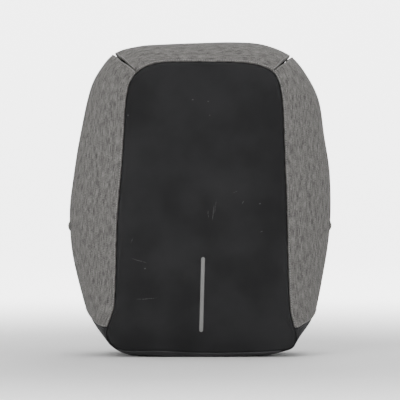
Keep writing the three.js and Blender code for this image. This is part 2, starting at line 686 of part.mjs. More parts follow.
// A folded tab that stands out of the side at its widest line.
function addSideTab(name, nearStation) {
  let station = nearStation;
  for (let i = 0; i < 6; i++) {
    const z = shellPoint(station, RIM_SHARE).z;
    const slope = (shellPoint(station + 0.1, RIM_SHARE).z - z) / 0.1;
    station += (TAB_HEIGHT - z) / slope;
  }
  const alongSteps = [-1, -0.6, 0, 0.6, 1];
  const acrossRows = [-0.09, -0.05, 0, 0.05, 0.09];
  const grid = (proud) =>
    alongSteps.map((a) =>
      acrossRows.map((b, j) => {
        const here = station + stationsFor((a * TAB_LENGTH) / 2, station, RIM_SHARE);
        const t = RIM_SHARE + b;
        const swell = 0.35 + 0.65 * Math.cos((a * Math.PI) / 2) * (j === 0 || j === 4 ? 0.4 : 1);
        const lift = SEAT_GAP + (proud ? TAB_PROUD * swell : 0);
        return shellPoint(here, t).addScaledVector(shellNormal(here, t), lift);
      }),
    );
  add(name, thickPatch(grid(true), grid(false)), grey);
}

// The three pads: one low across the board, and two long ones above it with a channel between them.
function addPads() {
  const lowFoot = BOARD_FOOT + LOW_PAD_ABOVE;
  const lowHead = lowFoot + LOW_PAD_TALL;
  const longFoot = lowHead + PAD_APART;
  const longHead = BOARD_HEAD - LONG_PAD_BELOW;
  const aside = (PAD_CHANNEL + LONG_PAD_WIDTH) / 2;
  addPad("back_pad_right", aside, LONG_PAD_WIDTH, longFoot, longHead);
  addPad("back_pad_left", -aside, LONG_PAD_WIDTH, longFoot, longHead);
  addPad("lumbar_pad", 0, LOW_PAD_WIDTH, lowFoot, lowHead);
}

// The reinforced patch that both straps are sewn to.
function addYoke() {
  const yoke = new THREE.BoxGeometry(YOKE_WIDTH, YOKE_WALL, YOKE_HEIGHT);
  const piece = add("strap_yoke", yoke, webbing);
  piece.position.set(0, BACK_DEPTH + BOARD_PROUD + SEAT_GAP + YOKE_WALL / 2, STRAP_ROOT + YOKE_LIFT);
}

// Everything of one shoulder strap. The side is -1 for the left one and +1 for the right one.
function addStrap(suffix, side) {
  const seat = BACK_DEPTH + BOARD_PROUD + SEAT_GAP + YOKE_WALL + SEAT_GAP;
  const route = STRAP_ROUTE.map(
    (row) =>
      new THREE.Vector3(
        side * (STRAP_APART + row.apart * STRAP_SPREAD),
        seat + STRAP_ROOT_WALL / 2 + row.out * STRAP_STANDOFF,
        STRAP_ROOT - row.fall * STRAP_DROP,
      ),
  );
  const curve = new THREE.CatmullRomCurve3(route);
  const steps = 22;
  const widthways = new THREE.Vector3(1, 0, 0);
  const padded = [];
  for (let i = 0; i <= steps; i++) {
    const share = i / steps;
    const rooted = THREE.MathUtils.smoothstep(share, 0, 0.3);
    const ended = THREE.MathUtils.smoothstep(share, 0.86, 1);
    const wall = THREE.MathUtils.lerp(STRAP_ROOT_WALL, STRAP_WALL, rooted);
    padded.push({
      place: curve.getPoint(share),
      across: widthways,
      width: THREE.MathUtils.lerp(STRAP_WIDTH, STRAP_END_WIDTH, ended),
      wall: THREE.MathUtils.lerp(wall, STRAP_END_WALL, ended),
    });
  }

  // The buckle's own axes: along the strap, across it, and off the wearer's side.
  const end = padded.at(-1).place;
  const along = end.clone().sub(padded.at(-3).place).normalize();
  const across = widthways.clone().addScaledVector(along, -widthways.dot(along)).normalize();
  const off = across.clone().cross(along).normalize();
  if (off.y < 0) off.negate();
  const bend = BUCKLE_BAR / 2 + WEB_CLEAR + WEB_WALL / 2;
  const origin = end.clone().addScaledVector(along, TONGUE_LENGTH);
  const inBuckle = (down, out) =>
    origin.clone().addScaledVector(along, down).addScaledVector(off, out);
  const webStep = (place) => ({ place, across, width: WEB_WIDTH, wall: WEB_WALL });
  const aroundBar = (barMiddle, turns) =>
    turns.map((degrees) => {
      const angle = THREE.MathUtils.degToRad(degrees);
      return webStep(inBuckle(barMiddle + bend * Math.sin(angle), -bend * Math.cos(angle)));
    });

  // The strap's thin tongue runs down behind the top bar, round it and a little way up in front.
  const tongue = [
    webStep(inBuckle(-TONGUE_LENGTH / 2, -bend * 0.8)),
    ...aroundBar(BUCKLE_BAR / 2, [0, 36, 72, 108, 144, 180]),
    webStep(inBuckle(-TONGUE_LAP, bend + SEAT_GAP)),
  ];
  add(`shoulder_strap_${suffix}`, strapSolid([...padded, ...tongue], 12, 2.2), mesh3d);

  // The buckle: a plate with a wide slot, a middle bar and a lower slot.
  const plateLength = 3 * BUCKLE_BAR + BUCKLE_SLOT + BUCKLE_LOW_SLOT;
  const half = BUCKLE_WIDTH / 2;
  const slotHalf = WEB_WIDTH / 2 + WEB_CLEAR;
  const plate = new THREE.Shape();
  plate.moveTo(-half + 2, 0);
  plate.lineTo(half - 2, 0);
  plate.lineTo(half, 2);
  plate.lineTo(half, plateLength - 2);
  plate.lineTo(half - 2, plateLength);
  plate.lineTo(-half + 2, plateLength);
  plate.lineTo(-half, plateLength - 2);
  plate.lineTo(-half, 2);
  const slot = (from, length) => {
    const hole = new THREE.Path();
    hole.moveTo(-slotHalf, from);
    hole.lineTo(slotHalf, from);
    hole.lineTo(slotHalf, from + length);
    hole.lineTo(-slotHalf, from + length);
    return hole;
  };
  const middleBarFrom = BUCKLE_BAR + BUCKLE_SLOT;
  plate.holes.push(slot(BUCKLE_BAR, BUCKLE_SLOT));
  plate.holes.push(slot(middleBarFrom + BUCKLE_BAR, BUCKLE_LOW_SLOT));
  const plateGeometry = new THREE.ExtrudeGeometry(plate, { depth: BUCKLE_BAR, bevelEnabled: false });
  plateGeometry.translate(0, 0, -BUCKLE_BAR / 2);
  const buckle = add(`strap_buckle_${suffix}`, plateGeometry, plastic);
  const third = across.clone().cross(along);
  buckle.quaternion.setFromRotationMatrix(new THREE.Matrix4().makeBasis(across, along, third));
  buckle.position.copy(origin);

  // The webbing: from its anchor up behind the buckle, over the middle bar, and down in front as a free tail.
  const corner = boardEdge(side > 0 ? TIP_RIGHT - ANCHOR_STATIONS : TIP_LEFT + ANCHOR_STATIONS, ANCHOR_INSET);
  const anchorFace = BACK_DEPTH + BOARD_PROUD + SEAT_GAP + ANCHOR_WALL + SEAT_GAP;
  const sewn = corner.clone().setY(anchorFace + WEB_WALL / 2);
  const barMiddle = middleBarFrom + BUCKLE_BAR / 2;
  const behind = inBuckle(plateLength + BUCKLE_BAR, -bend);
  const rise = behind.clone().sub(sewn);
  const towards = rise.clone().setY(0).normalize();
  const flatAcross = new THREE.Vector3(towards.z, 0, -towards.x);
  const rising = (share, sag) => ({
    place: sewn.clone().addScaledVector(rise, share).add(new THREE.Vector3(0, sag, 0)),
    across: flatAcross.clone().lerp(across, THREE.MathUtils.smoothstep(share, 0.2, 0.9)),
    width: WEB_WIDTH,
    wall: WEB_WALL,
  });
  const hang = inBuckle(plateLength + BUCKLE_BAR, bend);
  const web = [
    { ...rising(0, 0), place: sewn.clone().addScaledVector(towards, -ANCHOR_SIZE * 0.3) },
    { ...rising(0, 0), place: sewn.clone().addScaledVector(towards, ANCHOR_SIZE * 0.45) },
    rising(0.55, 0),
    rising(0.8, 0),
    webStep(behind),
    webStep(inBuckle(barMiddle + bend, -bend)),
    ...aroundBar(barMiddle, [0, -36, -72, -108, -144, -180]),
    webStep(inBuckle(barMiddle + bend, bend)),
    webStep(hang),
    webStep(hang.clone().add(new THREE.Vector3(0, 1.5, -0.35 * TAIL_LENGTH))),
    webStep(hang.clone().add(new THREE.Vector3(0, 0.5, -0.7 * TAIL_LENGTH))),
    webStep(hang.clone().add(new THREE.Vector3(0, -2, -TAIL_LENGTH))),
  ];
  add(`strap_webbing_${suffix}`, strapSolid(web, 4, SQUARE_ROUNDNESS), webbing);

  // The folded tab in the board's lower corner that holds the webbing.
  const anchor = new THREE.BoxGeometry(ANCHOR_SIZE, ANCHOR_WALL, ANCHOR_SIZE);
  const tab = add(`strap_anchor_${suffix}`, anchor, webbing);
  tab.position.copy(corner).setY(anchorFace - SEAT_GAP - ANCHOR_WALL / 2);
  tab.rotation.y = Math.atan2(towards.x, towards.z);
}

// The grab handle: an upright band that bows out from the board and back.
function addHandle() {
  const seat = BACK_DEPTH + BOARD_PROUD + SEAT_GAP;
  const upright = new THREE.Vector3(0, 0, 1);
  const steps = 18;
  const path = [];
  for (let i = 0; i <= steps; i++) {
    const share = (2 * i) / steps - 1;
    const bow = Math.max(0, 1 - Math.abs(share / 0.84) ** 2.6);
    const place = new THREE.Vector3(
      (share * HANDLE_SPAN) / 2,
      seat + HANDLE_WALL / 2 + HANDLE_STANDOFF * bow,
      BOARD_HEAD - HANDLE_BELOW,
    );
    path.push({ place, across: upright, width: HANDLE_WIDTH, wall: HANDLE_WALL });
  }
  add("grab_handle", strapSolid(path, 8, 2), webbing);
}

addFrontPanel();
addShell();
addGusset("corner_gusset_right", CORNER_RIGHT);
addGusset("corner_gusset_left", CORNER_LEFT);
addZip();
addSlider("zip_slider_right", -1);
addSlider("zip_slider_left", 1);
addBackBoard();
addPads();
addReflectiveStrip();
addSideTab("side_tab_right", stationOf("low_right") + 0.5);
addSideTab("side_tab_left", stationOf("waist_left") + 0.4);
addYoke();
addStrap("right", 1);
addStrap("left", -1);
addHandle();

export default group;
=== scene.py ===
"""A backpack that opens only at the wearer's back, dressed for its photograph.

The bag stands empty on its base. A smooth dark front panel is framed by padded sides and a padded top of
grey melange cloth, which part at two slits in the top corners. A zip runs round the back edge, and the back
board carries pads, shoulder straps and a grab handle.

All lengths are metres, +X is to the right as seen from the front, +Y runs towards the wearer's back and +Z
is up. Each sub-assembly is a class that works out its surfaces as whole arrays and dresses them.
"""

from __future__ import annotations

import logging
import math
from abc import ABC, abstractmethod
from dataclasses import dataclass
from enum import Enum
from typing import Callable, NamedTuple, Sequence

import bmesh
import bpy
import numpy as np
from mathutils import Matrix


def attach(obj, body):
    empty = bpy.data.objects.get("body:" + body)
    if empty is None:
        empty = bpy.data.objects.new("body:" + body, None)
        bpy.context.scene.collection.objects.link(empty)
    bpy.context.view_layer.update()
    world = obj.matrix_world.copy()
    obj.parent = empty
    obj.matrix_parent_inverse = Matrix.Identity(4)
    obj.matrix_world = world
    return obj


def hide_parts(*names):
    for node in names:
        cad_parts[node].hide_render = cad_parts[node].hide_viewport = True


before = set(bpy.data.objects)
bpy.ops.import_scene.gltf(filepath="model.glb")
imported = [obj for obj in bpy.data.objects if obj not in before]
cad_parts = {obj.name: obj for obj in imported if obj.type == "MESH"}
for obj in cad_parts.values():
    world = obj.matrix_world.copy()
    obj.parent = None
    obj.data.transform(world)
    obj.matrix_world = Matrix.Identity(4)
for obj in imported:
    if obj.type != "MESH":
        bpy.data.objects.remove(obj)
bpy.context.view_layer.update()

LOG = logging.getLogger("backpack")
MM = 0.001
TURN = 2.0 * math.pi
STITCH_RADIUS = 0.34 * MM
TACK_PITCH = 2.2 * MM
SIDEWAYS, REARWARD, UPWARD = np.eye(3)
XZ = [0, 2]
Array = np.ndarray
Along = Callable[[Array], Array]
Mesh = tuple[Array, list]
Piece = bpy.types.Object
Socket = bpy.types.NodeSocket


class Station(NamedTuple):
    """One place round the bag in the front view, as shares of half the width and of the height."""

    seam_across: float
    seam_up: float
    rim_across: float
    rim_up: float


STATIONS = {
    "base_mid": Station(0.0, 0.011, 0.0, -0.006),
    "base_right": Station(0.29, 0.012, 0.298, -0.004),
    "sole_right": Station(0.528, 0.016, 0.527, 0.004),
    "heel_right": Station(0.674, 0.026, 0.658, 0.026),
    "heel_side_right": Station(0.712, 0.059, 0.76, 0.066),
    "tip_right": Station(0.692, 0.095, 0.852, 0.113),
    "hip_right": Station(0.665, 0.154, 0.893, 0.164),
    "thigh_right": Station(0.655, 0.242, 0.927, 0.242),
    "low_right": Station(0.648, 0.345, 0.97, 0.348),
    "waist_right": Station(0.644, 0.452, 0.993, 0.46),
    "rib_right": Station(0.635, 0.562, 0.986, 0.576),
    "chest_right": Station(0.624, 0.681, 0.947, 0.692),
    "shoulder_right": Station(0.616, 0.785, 0.905, 0.804),
    "neck_right": Station(0.592, 0.855, 0.818, 0.884),
    "corner_right": Station(0.537, 0.898, 0.688, 0.954),
    "crown_right": Station(0.405, 0.921, 0.481, 0.99),
    "top_right": Station(0.24, 0.928, 0.26, 0.999),
    "top_mid": Station(0.0, 0.929, 0.0, 0.998),
    "top_left": Station(-0.233, 0.929, -0.275, 0.993),
    "crown_left": Station(-0.383, 0.919, -0.481, 0.986),
    "corner_left": Station(-0.478, 0.896, -0.665, 0.962),
    "neck_left": Station(-0.54, 0.855, -0.802, 0.894),
    "shoulder_left": Station(-0.567, 0.785, -0.874, 0.811),
    "chest_left": Station(-0.58, 0.681, -0.928, 0.692),
    "rib_left": Station(-0.6, 0.562, -0.974, 0.57),
    "waist_left": Station(-0.623, 0.452, -1.004, 0.451),
    "low_left": Station(-0.632, 0.345, -0.992, 0.342),
    "thigh_left": Station(-0.638, 0.242, -0.941, 0.235),
    "hip_left": Station(-0.649, 0.158, -0.888, 0.157),
    "tip_left": Station(-0.694, 0.098, -0.834, 0.11),
    "heel_side_left": Station(-0.7, 0.061, -0.735, 0.058),
    "heel_left": Station(-0.651, 0.031, -0.648, 0.025),
    "sole_left": Station(-0.543, 0.017, -0.54, 0.003),
    "base_left": Station(-0.29, 0.017, -0.298, -0.005),
}
COUNT = len(STATIONS)


class Side(Enum):
    """The bag's two sides as seen from the front, each with the sign of its X."""

    RIGHT = 1
    LEFT = -1

    @property
    def word(self) -> str:
        """The side's name in a node's name."""
        return self.name.lower()


def number_of(station: str) -> float:
    """A station's number in the order round the bag."""
    return float(list(STATIONS).index(station))


TOP_MID = number_of("top_mid")
TIP = {side: number_of(f"tip_{side.word}") for side in Side}
CORNER = {side: number_of(f"corner_{side.word}") for side in Side}


def unit(vectors: Array) -> Array:
    """Scales vectors to length one, along the last axis."""
    return vectors / np.maximum(np.linalg.norm(vectors, axis=-1, keepdims=True), 1e-12)


def smoothstep(values: Array, low: float, high: float) -> Array:
    """Rises from 0 at low to 1 at high with level ends: 3 s^2 - 2 s^3 of the clipped share s."""
    share = np.clip((values - low) / (high - low), 0.0, 1.0)
    return share * share * (3.0 - 2.0 * share)


def bell(distance: Array, width: float) -> Array:
    """A bell curve of height one: exp(-(distance / width)^2)."""
    return np.exp(-((distance / width) ** 2))


def lerp(start: Array, end: Array, share: Array) -> Array:
    """Goes straight from start to end by a share."""
    return start + (end - start) * share


def closing(share: Array, exponent: float, least: float) -> Array:
    """How a bar thins at its ends: sqrt(1 - |s|^n) at a share s of its half length, or sqrt(least)."""
    return np.sqrt(np.clip(1.0 - np.abs(share) ** exponent, least, 1.0))


def rolled_under(radius: float, *distances: Array) -> Array:
    """How deep a surface is rolled under near its edges: r (1 - sqrt(1 - e^2)), where e^2 is the sum of
    (1 - d / r)^2 over the distances d from the edges that are below the radius r, at most 1."""
    squares = sum(np.clip(1.0 - distance / radius, 0.0, 1.0) ** 2 for distance in distances)
    return radius * (1.0 - np.sqrt(1.0 - np.clip(squares, 0.0, 1.0)))


def superellipse(angle: Array, exponent: float) -> tuple[Array, Array]:
    """Across and up on a superellipse of half size one: cosine and sine to the power 2 / n, signed."""
    across, up = (np.sign(f) * np.abs(f) ** (2.0 / exponent) for f in (np.cos(angle), np.sin(angle)))
    return across, up


def catmull_rom(a: Array, b: Array, c: Array, d: Array, u: Array) -> Array:
    """The uniform cubic from b at u 0 to c at u 1 whose slopes there are (c - a) / 2 and (d - b) / 2."""
    curve = 2.0 * b + (c - a) * u + (2.0 * a - 5.0 * b + 4.0 * c - d) * u**2
    return 0.5 * (curve + (3.0 * b - 3.0 * c + d - a) * u**3)


def at_depth(flat: Array, depth: Array | float) -> Array:
    """Points whose x and z are places in the front view, and whose y is a depth."""
    return np.stack(np.broadcast_arrays(flat[..., 0], depth, flat[..., 1]), axis=-1)


def lengths_along(points: Array, axis: int) -> Array:
    """Running length of a path or a grid of points along one of its axes, from 0 at its start.

    Args:
        points: a path (n, 3) or a grid (rows, columns, 3).
        axis: 0 to run along a path or down the rows, 1 to run along the columns.

    Returns:
        A length for each point.
    """
    steps = np.linalg.norm(np.diff(points, axis=axis), axis=-1)
    start = np.zeros_like(np.take(steps, [0], axis=axis))
    return np.concatenate([start, np.cumsum(steps, axis=axis)], axis=axis)


def places_on(points: Array) -> Array:
    """Places on a grid of points: the length down its rows and the length along its columns."""
    return np.stack([lengths_along(points, 0), lengths_along(points, 1)], axis=-1)


def edge_spaced(length: float, fine: float, coarse: float, edge: float) -> Array:
    """Shares from 0 to 1 of a length, fine apart within an edge at both ends and coarse apart between.

    Args:
        length: the whole length.
        fine: distance between the shares near the ends.
        coarse: distance between them in the middle.
        edge: how far from an end they stay fine.

    Returns:
        The shares.
    """
    near = np.arange(0.0, edge, fine)
    middle = np.linspace(edge, length - edge, max(3, round((length - 2.0 * edge) / coarse)))
    return np.concatenate([near, middle, length - near[::-1]]) / length


@dataclass(frozen=True)
class Form:
    """The bag's outer form, which every piece of the shell is cut from.

    The powers are the exponents of the profile's superellipses, which grow where the bag faces down.
    """

    height: float = 440.0 * MM
    width: float = 370.0 * MM
    front_reach: float = 66.0 * MM
    front_lean: float = 30.0 * MM
    front_crown: float = 14.0 * MM
    crown_across: float = 0.65
    crown_up: float = 0.5
    toe_round: float = 9.0 * MM
    toe_height: float = 16.0 * MM
    rim_depth: float = 12.0 * MM
    back_depth: float = 52.0 * MM
    side_inset: float = 24.0 * MM
    end_inset: float = 14.0 * MM
    zip_width: float = 11.0 * MM
    seam_gap: float = 0.4 * MM
    middle_share: float = 0.47
    rim_share: float = 0.6
    board_share: float = 1.2
    front_power: float = 1.55
    front_power_below: float = 3.2
    rear_power: float = 2.2
    rear_power_below: float = 1.2

    @property
    def middle(self) -> Array:
        """The point in the front view that the stations are drawn in towards, as (x, z)."""
        return np.array([0.0, self.middle_share * self.height])

    def _loop(self, station: Array, first: int) -> Array:
        """A closed curve through two columns of the stations.

        Args:
            station: station numbers, which may pass the last one.
            first: the column of the across share, with the up share in the next.

        Returns:
            Places in the front view, (..., 2), as x and z.
        """
        table = np.array(list(STATIONS.values()))[:, first : first + 2]
        table = table * [self.width / 2.0, self.height]
        turned = np.mod(station, COUNT)
        at = np.floor(turned).astype(int)
        corners = (table[(at + step) % COUNT] for step in (-1, 0, 1, 2))
        return catmull_rom(*corners, (turned - at)[..., None])

    def front_depth(self, flat: Array) -> Array:
        """The front panel's y: a face that leans with the square of the height, less a crown that falls
        off with the squares across and up, plus a turn under that fades with height.

        Args:
            flat: places in the front view, (..., 2).

        Returns:
            A depth for each place.
        """
        x, z = flat[..., 0], flat[..., 1]
        across = x / (self.crown_across * self.width / 2.0)
        up = (z / self.height - self.middle_share) / self.crown_up
        crown = self.front_crown * (1.0 - across**2) * (1.0 - up**2)
        lean = self.front_lean * (z / self.height) ** 2
        return -self.front_reach + lean - crown + self.toe_round * np.exp(-z / self.toe_height)

    def front_normal(self, flat: Array) -> Array:
        """The front panel's outward normal, from the slopes of its depth across and up.

        Args:
            flat: places in the front view, (..., 2).

        Returns:
            A normal for each place.
        """
        step = 0.5 * MM
        slopes = [
            (self.front_depth(flat + way) - self.front_depth(flat - way)) / (2.0 * step)
            for way in np.eye(2) * step
        ]
        return unit(at_depth(np.stack(slopes, axis=-1), -1.0))

    def seam(self, station: Array, offset: float = 0.0) -> Array:
        """The seam between front panel and shell, moved out from the middle by an offset.

        Args:
            station: station numbers.
            offset: how far out.

        Returns:
            A point for each station.
        """
        flat = self._loop(station, 0)
        flat = flat + unit(flat - self.middle) * offset
        return at_depth(flat, self.front_depth(flat))

    def zip_edge(self, station: Array | float, inset: Array | float = 0.0) -> Array:
        """The zip's outer edge, drawn in from the widest line, and moved in further by an inset.

        Args:
            station: station numbers.
            inset: how much further in.

        Returns:
            A point for each station.
        """
        rim = self._loop(station, 2)
        flat = rim - unit(rim - self.middle) * [self.side_inset, self.end_inset]
        flat = flat - unit(flat - self.middle) * inset
        return at_depth(flat, self.back_depth)

    def surface(self, station: Array | float, t: Array | float) -> Array:
        """The shell's outer surface, a function of the station and of t across the profile.

        From the seam at t 0 to the widest line it is a quarter superellipse, from there to the zip's edge
        at t 1 another, squarer the more the place faces down, and then a flat strip to the back board.
        What would reach below the floor is flattened on it.

        Args:
            station: station numbers.
            t: places across the profile, which broadcast with the stations.

        Returns:
            A point for each place.
        """
        station, t = np.broadcast_arrays(station, t)
        rim = self._loop(station, 2)
        down = np.clip(-unit(rim - self.middle)[..., 1], 0.0, 1.0)[..., None] ** 6
        share = t[..., None]
        seam = self.seam(station, self.seam_gap / 2.0)
        widest = at_depth(rim, self.rim_depth)
        edge = self.zip_edge(station)
        front_power = 2.0 / (self.front_power + self.front_power_below * down)
        front = self._quarter(seam, widest, share / self.rim_share, front_power, True)
        rear_share = (share - self.rim_share) / (1.0 - self.rim_share)
        rear_power = 2.0 / (self.rear_power + self.rear_power_below * down)
        rear = self._quarter(widest, edge, rear_share, rear_power, False)
        strip_share = np.clip((share - 1.0) / (self.board_share - 1.0), 0.0, 1.0)
        strip = lerp(edge, self.zip_edge(station, self.zip_width), strip_share)
        point = np.where(share <= self.rim_share, front, np.where(share <= 1.0, rear, strip))
        point[..., 2] = np.maximum(point[..., 2], 0.0)
        return point

    @staticmethod
    def _quarter(start: Array, end: Array, share: Array, power: Array, outward: bool) -> Array:
        """A quarter superellipse from start to end in the plane of the depth and the way out.

        Args:
            start: where it starts.
            end: where it ends.
            share: share of the quarter turn.
            power: two over the superellipse's exponent.
            outward: whether it leaves start along the front view, or else along the depth.

        Returns:
            Points of the curve.
        """
        turn = np.clip(share, 0.0, 1.0) * (math.pi / 2.0)
        rising = np.sin(turn) ** power
        lagging = 1.0 - np.maximum(np.cos(turn), 0.0) ** power
        flat, deep = (rising, lagging) if outward else (lagging, rising)
        point = lerp(start, end, flat)
        point[..., 1:2] = lerp(start[..., 1:2], end[..., 1:2], deep)
        return point

    def normal(self, station: Array, t: Array) -> Array:
        """The shell's outward normal: the cross product of its slopes, led in from the front panel's
        normal at the seam and held square to the back from the zip's edge on.

        Args:
            station: station numbers.
            t: places across the profile, which broadcast with the stations.

        Returns:
            A normal for each place.
        """
        station, t = np.broadcast_arrays(station, t)
        inner = np.clip(t, 0.03, 0.97)
        along = self.surface(station + 0.15, inner) - self.surface(station - 0.15, inner)
        across = self.surface(station, inner + 0.02) - self.surface(station, inner - 0.02)
        lead = self.front_normal(self.seam(station)[..., XZ])
        mixed = lerp(lead, unit(np.cross(across, along)), smoothstep(t, 0.0, 0.07)[..., None])
        return unit(lerp(mixed, REARWARD, smoothstep(t, 0.95, 1.0)[..., None]))

    def stations_for(self, distance: Array | float, station: float, t: Array | float) -> Array:
        """A distance along the stations, in stations, at a place on the shell.

        Args:
            distance: the distance.
            station: the place's station.
            t: its place across the profile.

        Returns:
            The distance in stations.
        """
        step = 0.2
        pace = self.surface(station + step, t) - self.surface(station - step, t)
        return distance * 2.0 * step / np.linalg.norm(pace, axis=-1)


FORM = Form()


def grid_faces(rows: int, columns: int, start: int = 0, flip: bool = False, wrap: bool = False) -> Array:
    """Quads of a grid of points.

    Args:
        rows: rows of points.
        columns: points in a row.
        start: index of the first point.
        flip: whether the quads turn the other way round.
        wrap: whether the last column joins the first.

    Returns:
        Point indices, one row of four for each quad.
    """
    i, j = np.meshgrid(np.arange(rows - 1), np.arange(columns if wrap else columns - 1), indexing="ij")
    right = (j + 1) % columns
    corners = [i * columns + j, i * columns + right, (i + 1) * columns + right, (i + 1) * columns + j]
    quads = start + np.stack(corners, axis=-1).reshape(-1, 4)
    return quads[:, ::-1] if flip else quads


def fan(ring: Array, middle: int, flip: bool = False) -> Array:
    """Triangles from a closed ring of point indices to one middle point, one row of three for each.

    Args:
        ring: the ring's indices.
        middle: the middle point's index.
        flip: whether the triangles turn the other way round.

    Returns:
        Point indices, one row of three for each triangle.
    """
    ahead = np.roll(ring, -1)
    first, second = (ahead, ring) if flip else (ring, ahead)
    return np.stack([first, second, np.full(len(ring), middle)], axis=-1)


def put_in(name: str, data: bpy.types.ID) -> Piece:
    """Makes an object of a mesh, a light or a camera, and links it to the scene.

    Args:
        name: the object's name.
        data: the mesh, light or camera.

    Returns:
        The object.
    """
    obj = bpy.data.objects.new(name, data)
    bpy.context.scene.collection.objects.link(obj)
    return obj


def make_object(name: str, points: Array, faces: list, uv: Array | None = None) -> Piece:
    """Makes a mesh object at the origin, with outward faces and smooth shading.

    Args:
        name: the piece's name.
        points: its points, (n, 3).
        faces: its faces, as rows of point indices.
        uv: a place on the surface for each point, in metres, or None.

    Returns:
        The object, linked to the scene.
    """
    mesh = bpy.data.meshes.new(name)
    mesh.from_pydata(points.tolist(), [], faces)
    if uv is not None:
        layer = mesh.uv_layers.new(name="surface")
        corner = np.empty(len(mesh.loops), dtype=np.int32)
        mesh.loops.foreach_get("vertex_index", corner)
        layer.data.foreach_set("uv", uv[corner].astype(np.float32).ravel())
    work = bmesh.new()
    work.from_mesh(mesh)
    bmesh.ops.recalc_face_normals(work, faces=work.faces)
    work.to_mesh(mesh)
    work.free()
    mesh.shade_smooth()
    mesh.set_sharp_from_angle(angle=math.radians(50.0))
    return put_in(name, mesh)


def closed_sheet(outer: Array, inner: Array, uv: Array) -> tuple[Array, list, Array]:
    """Joins an outer and an inner grid into one closed sheet, with walls along its four edges.

    Args:
        outer: outer points, (rows, columns, 3).
        inner: inner points, of the same shape.
        uv: places on the surface, (rows, columns, 2).

    Returns:
        Points, faces and places on the surface.
    """
    rows, columns = outer.shape[:2]
    count = rows * columns
    sides = [
        np.arange(columns),
        np.arange(1, rows) * columns + columns - 1,
        (rows - 1) * columns + np.arange(columns - 2, -1, -1),
        np.arange(rows - 2, 0, -1) * columns,
    ]
    border = np.concatenate(sides)
    ahead = np.roll(border, -1)
    walls = np.stack([border, border + count, ahead + count, ahead], axis=-1)
    faces = [grid_faces(rows, columns), grid_faces(rows, columns, count, flip=True), walls]
    points = np.concatenate([outer.reshape(-1, 3), inner.reshape(-1, 3)])
    return points, np.concatenate(faces).tolist(), np.concatenate([uv.reshape(-1, 2)] * 2)


def closed_tube(rings: Array) -> tuple[Array, list, Array]:
    """Joins rings of points into a closed tube with a middle point in each end.

    Args:
        rings: the rings, (steps, around, 3).

    Returns:
        Points, faces and places on the surface, as length along and length around.
    """
    steps, around = rings.shape[:2]
    count = steps * around
    points = np.concatenate([rings.reshape(-1, 3), rings[0].mean(0)[None], rings[-1].mean(0)[None]])
    ring = np.arange(around)
    faces = [
        *grid_faces(steps, around, wrap=True).tolist(),
        *fan(ring, count, flip=True).tolist(),
        *fan(count - around + ring, count + 1).tolist(),
    ]
    along = lengths_along(rings, 0).mean(axis=1, keepdims=True)
    uv = np.stack(np.broadcast_arrays(along, lengths_along(rings, 1)), axis=-1).reshape(-1, 2)
    return points, faces, np.concatenate([uv, uv[:1], uv[-1:]])


def closed_cap(outer: Array, inner: Array) -> tuple[Array, list, Array]:
    """Joins two stacks of rings, each drawn in to its last ring's middle, into one closed plate.

    Args:
        outer: outer rings from the rim inwards, (rings, around, 3).
        inner: inner rings, of the same shape.

    Returns:
        Points, faces and places on the surface, as x and z.
    """
    rings, around = outer.shape[:2]
    count = rings * around
    middles = [outer[-1].mean(0)[None], inner[-1].mean(0)[None]]
    points = np.concatenate([outer.reshape(-1, 3), inner.reshape(-1, 3), *middles])
    ring = np.arange(around)
    ahead = np.roll(ring, -1)
    inmost = count - around + ring
    faces = [
        *grid_faces(rings, around, wrap=True).tolist(),
        *grid_faces(rings, around, count, flip=True, wrap=True).tolist(),
        *np.stack([ring, ring + count, ahead + count, ahead], axis=-1).tolist(),
        *fan(inmost, 2 * count).tolist(),
        *fan(count + inmost, 2 * count + 1, flip=True).tolist(),
    ]
    return points, faces, points[:, XZ]


def sweep(path: Array, across: Array, section: Array) -> Array:
    """Carries a section along a path.

    Each ring is path + across * w + off * h, where off is square to the path and to across.

    Args:
        path: the middle line, (steps, 3).
        across: the way that the section's width runs at each step, (steps, 3) or (3,).
        section: the section's corners as width and height, (steps, around, 2) or (1, around, 2).

    Returns:
        Rings of points, (steps, around, 3).
    """
    along = unit(np.gradient(path, axis=0))
    wide = np.broadcast_to(across, path.shape)
    wide = unit(wide - along * (wide * along).sum(-1, keepdims=True))
    off = np.cross(wide, along)
    return path[:, None] + (wide[:, None] * section[..., :1] + off[:, None] * section[..., 1:])


def rounded_section(width: Array | float, wall: Array | float, squareness: float, corners: int) -> Array:
    """A superellipse section for each width and wall.

    Args:
        width: full width, a number or one for each step.
        wall: full thickness, likewise.
        squareness: the superellipse's exponent, 2 for an ellipse.
        corners: points round the section.

    Returns:
        Sections, (steps, corners, 2).
    """
    angle = (np.arange(corners) + 0.5) / corners * TURN
    size = np.stack(np.broadcast_arrays(np.atleast_1d(width), np.atleast_1d(wall)), axis=-1) / 2.0
    return np.stack(superellipse(angle, squareness), axis=-1) * size[:, None]


def smooth_path(points: Array, spacing: float) -> Array:
    """Rounds a path through a few points, by the uniform cubic through them.

    Args:
        points: the points that it passes, (n, 3).
        spacing: distance between the new points.

    Returns:
        The new points, (m, 3).
    """
    padded = np.concatenate([2.0 * points[:1] - points[1:2], points, 2.0 * points[-1:] - points[-2:-1]])
    share = np.linspace(0.0, len(points) - 1.0, 40 * len(points))
    at = np.minimum(np.floor(share).astype(int), len(points) - 2)
    corners = (padded[at + step] for step in range(4))
    return respaced(catmull_rom(*corners, (share - at)[:, None]), spacing)


def respaced(path: Array, spacing: float) -> Array:
    """Takes points along a path of many points, as near a spacing apart as fits its length.

    Args:
        path: the path, (n, 3).
        spacing: distance between the new points.

    Returns:
        The new points, (m, 3).
    """
    run = lengths_along(path, 0)
    wanted = np.linspace(0.0, run[-1], max(2, round(run[-1] / spacing) + 1))
    return np.stack([np.interp(wanted, run, column) for column in path.T], axis=-1)


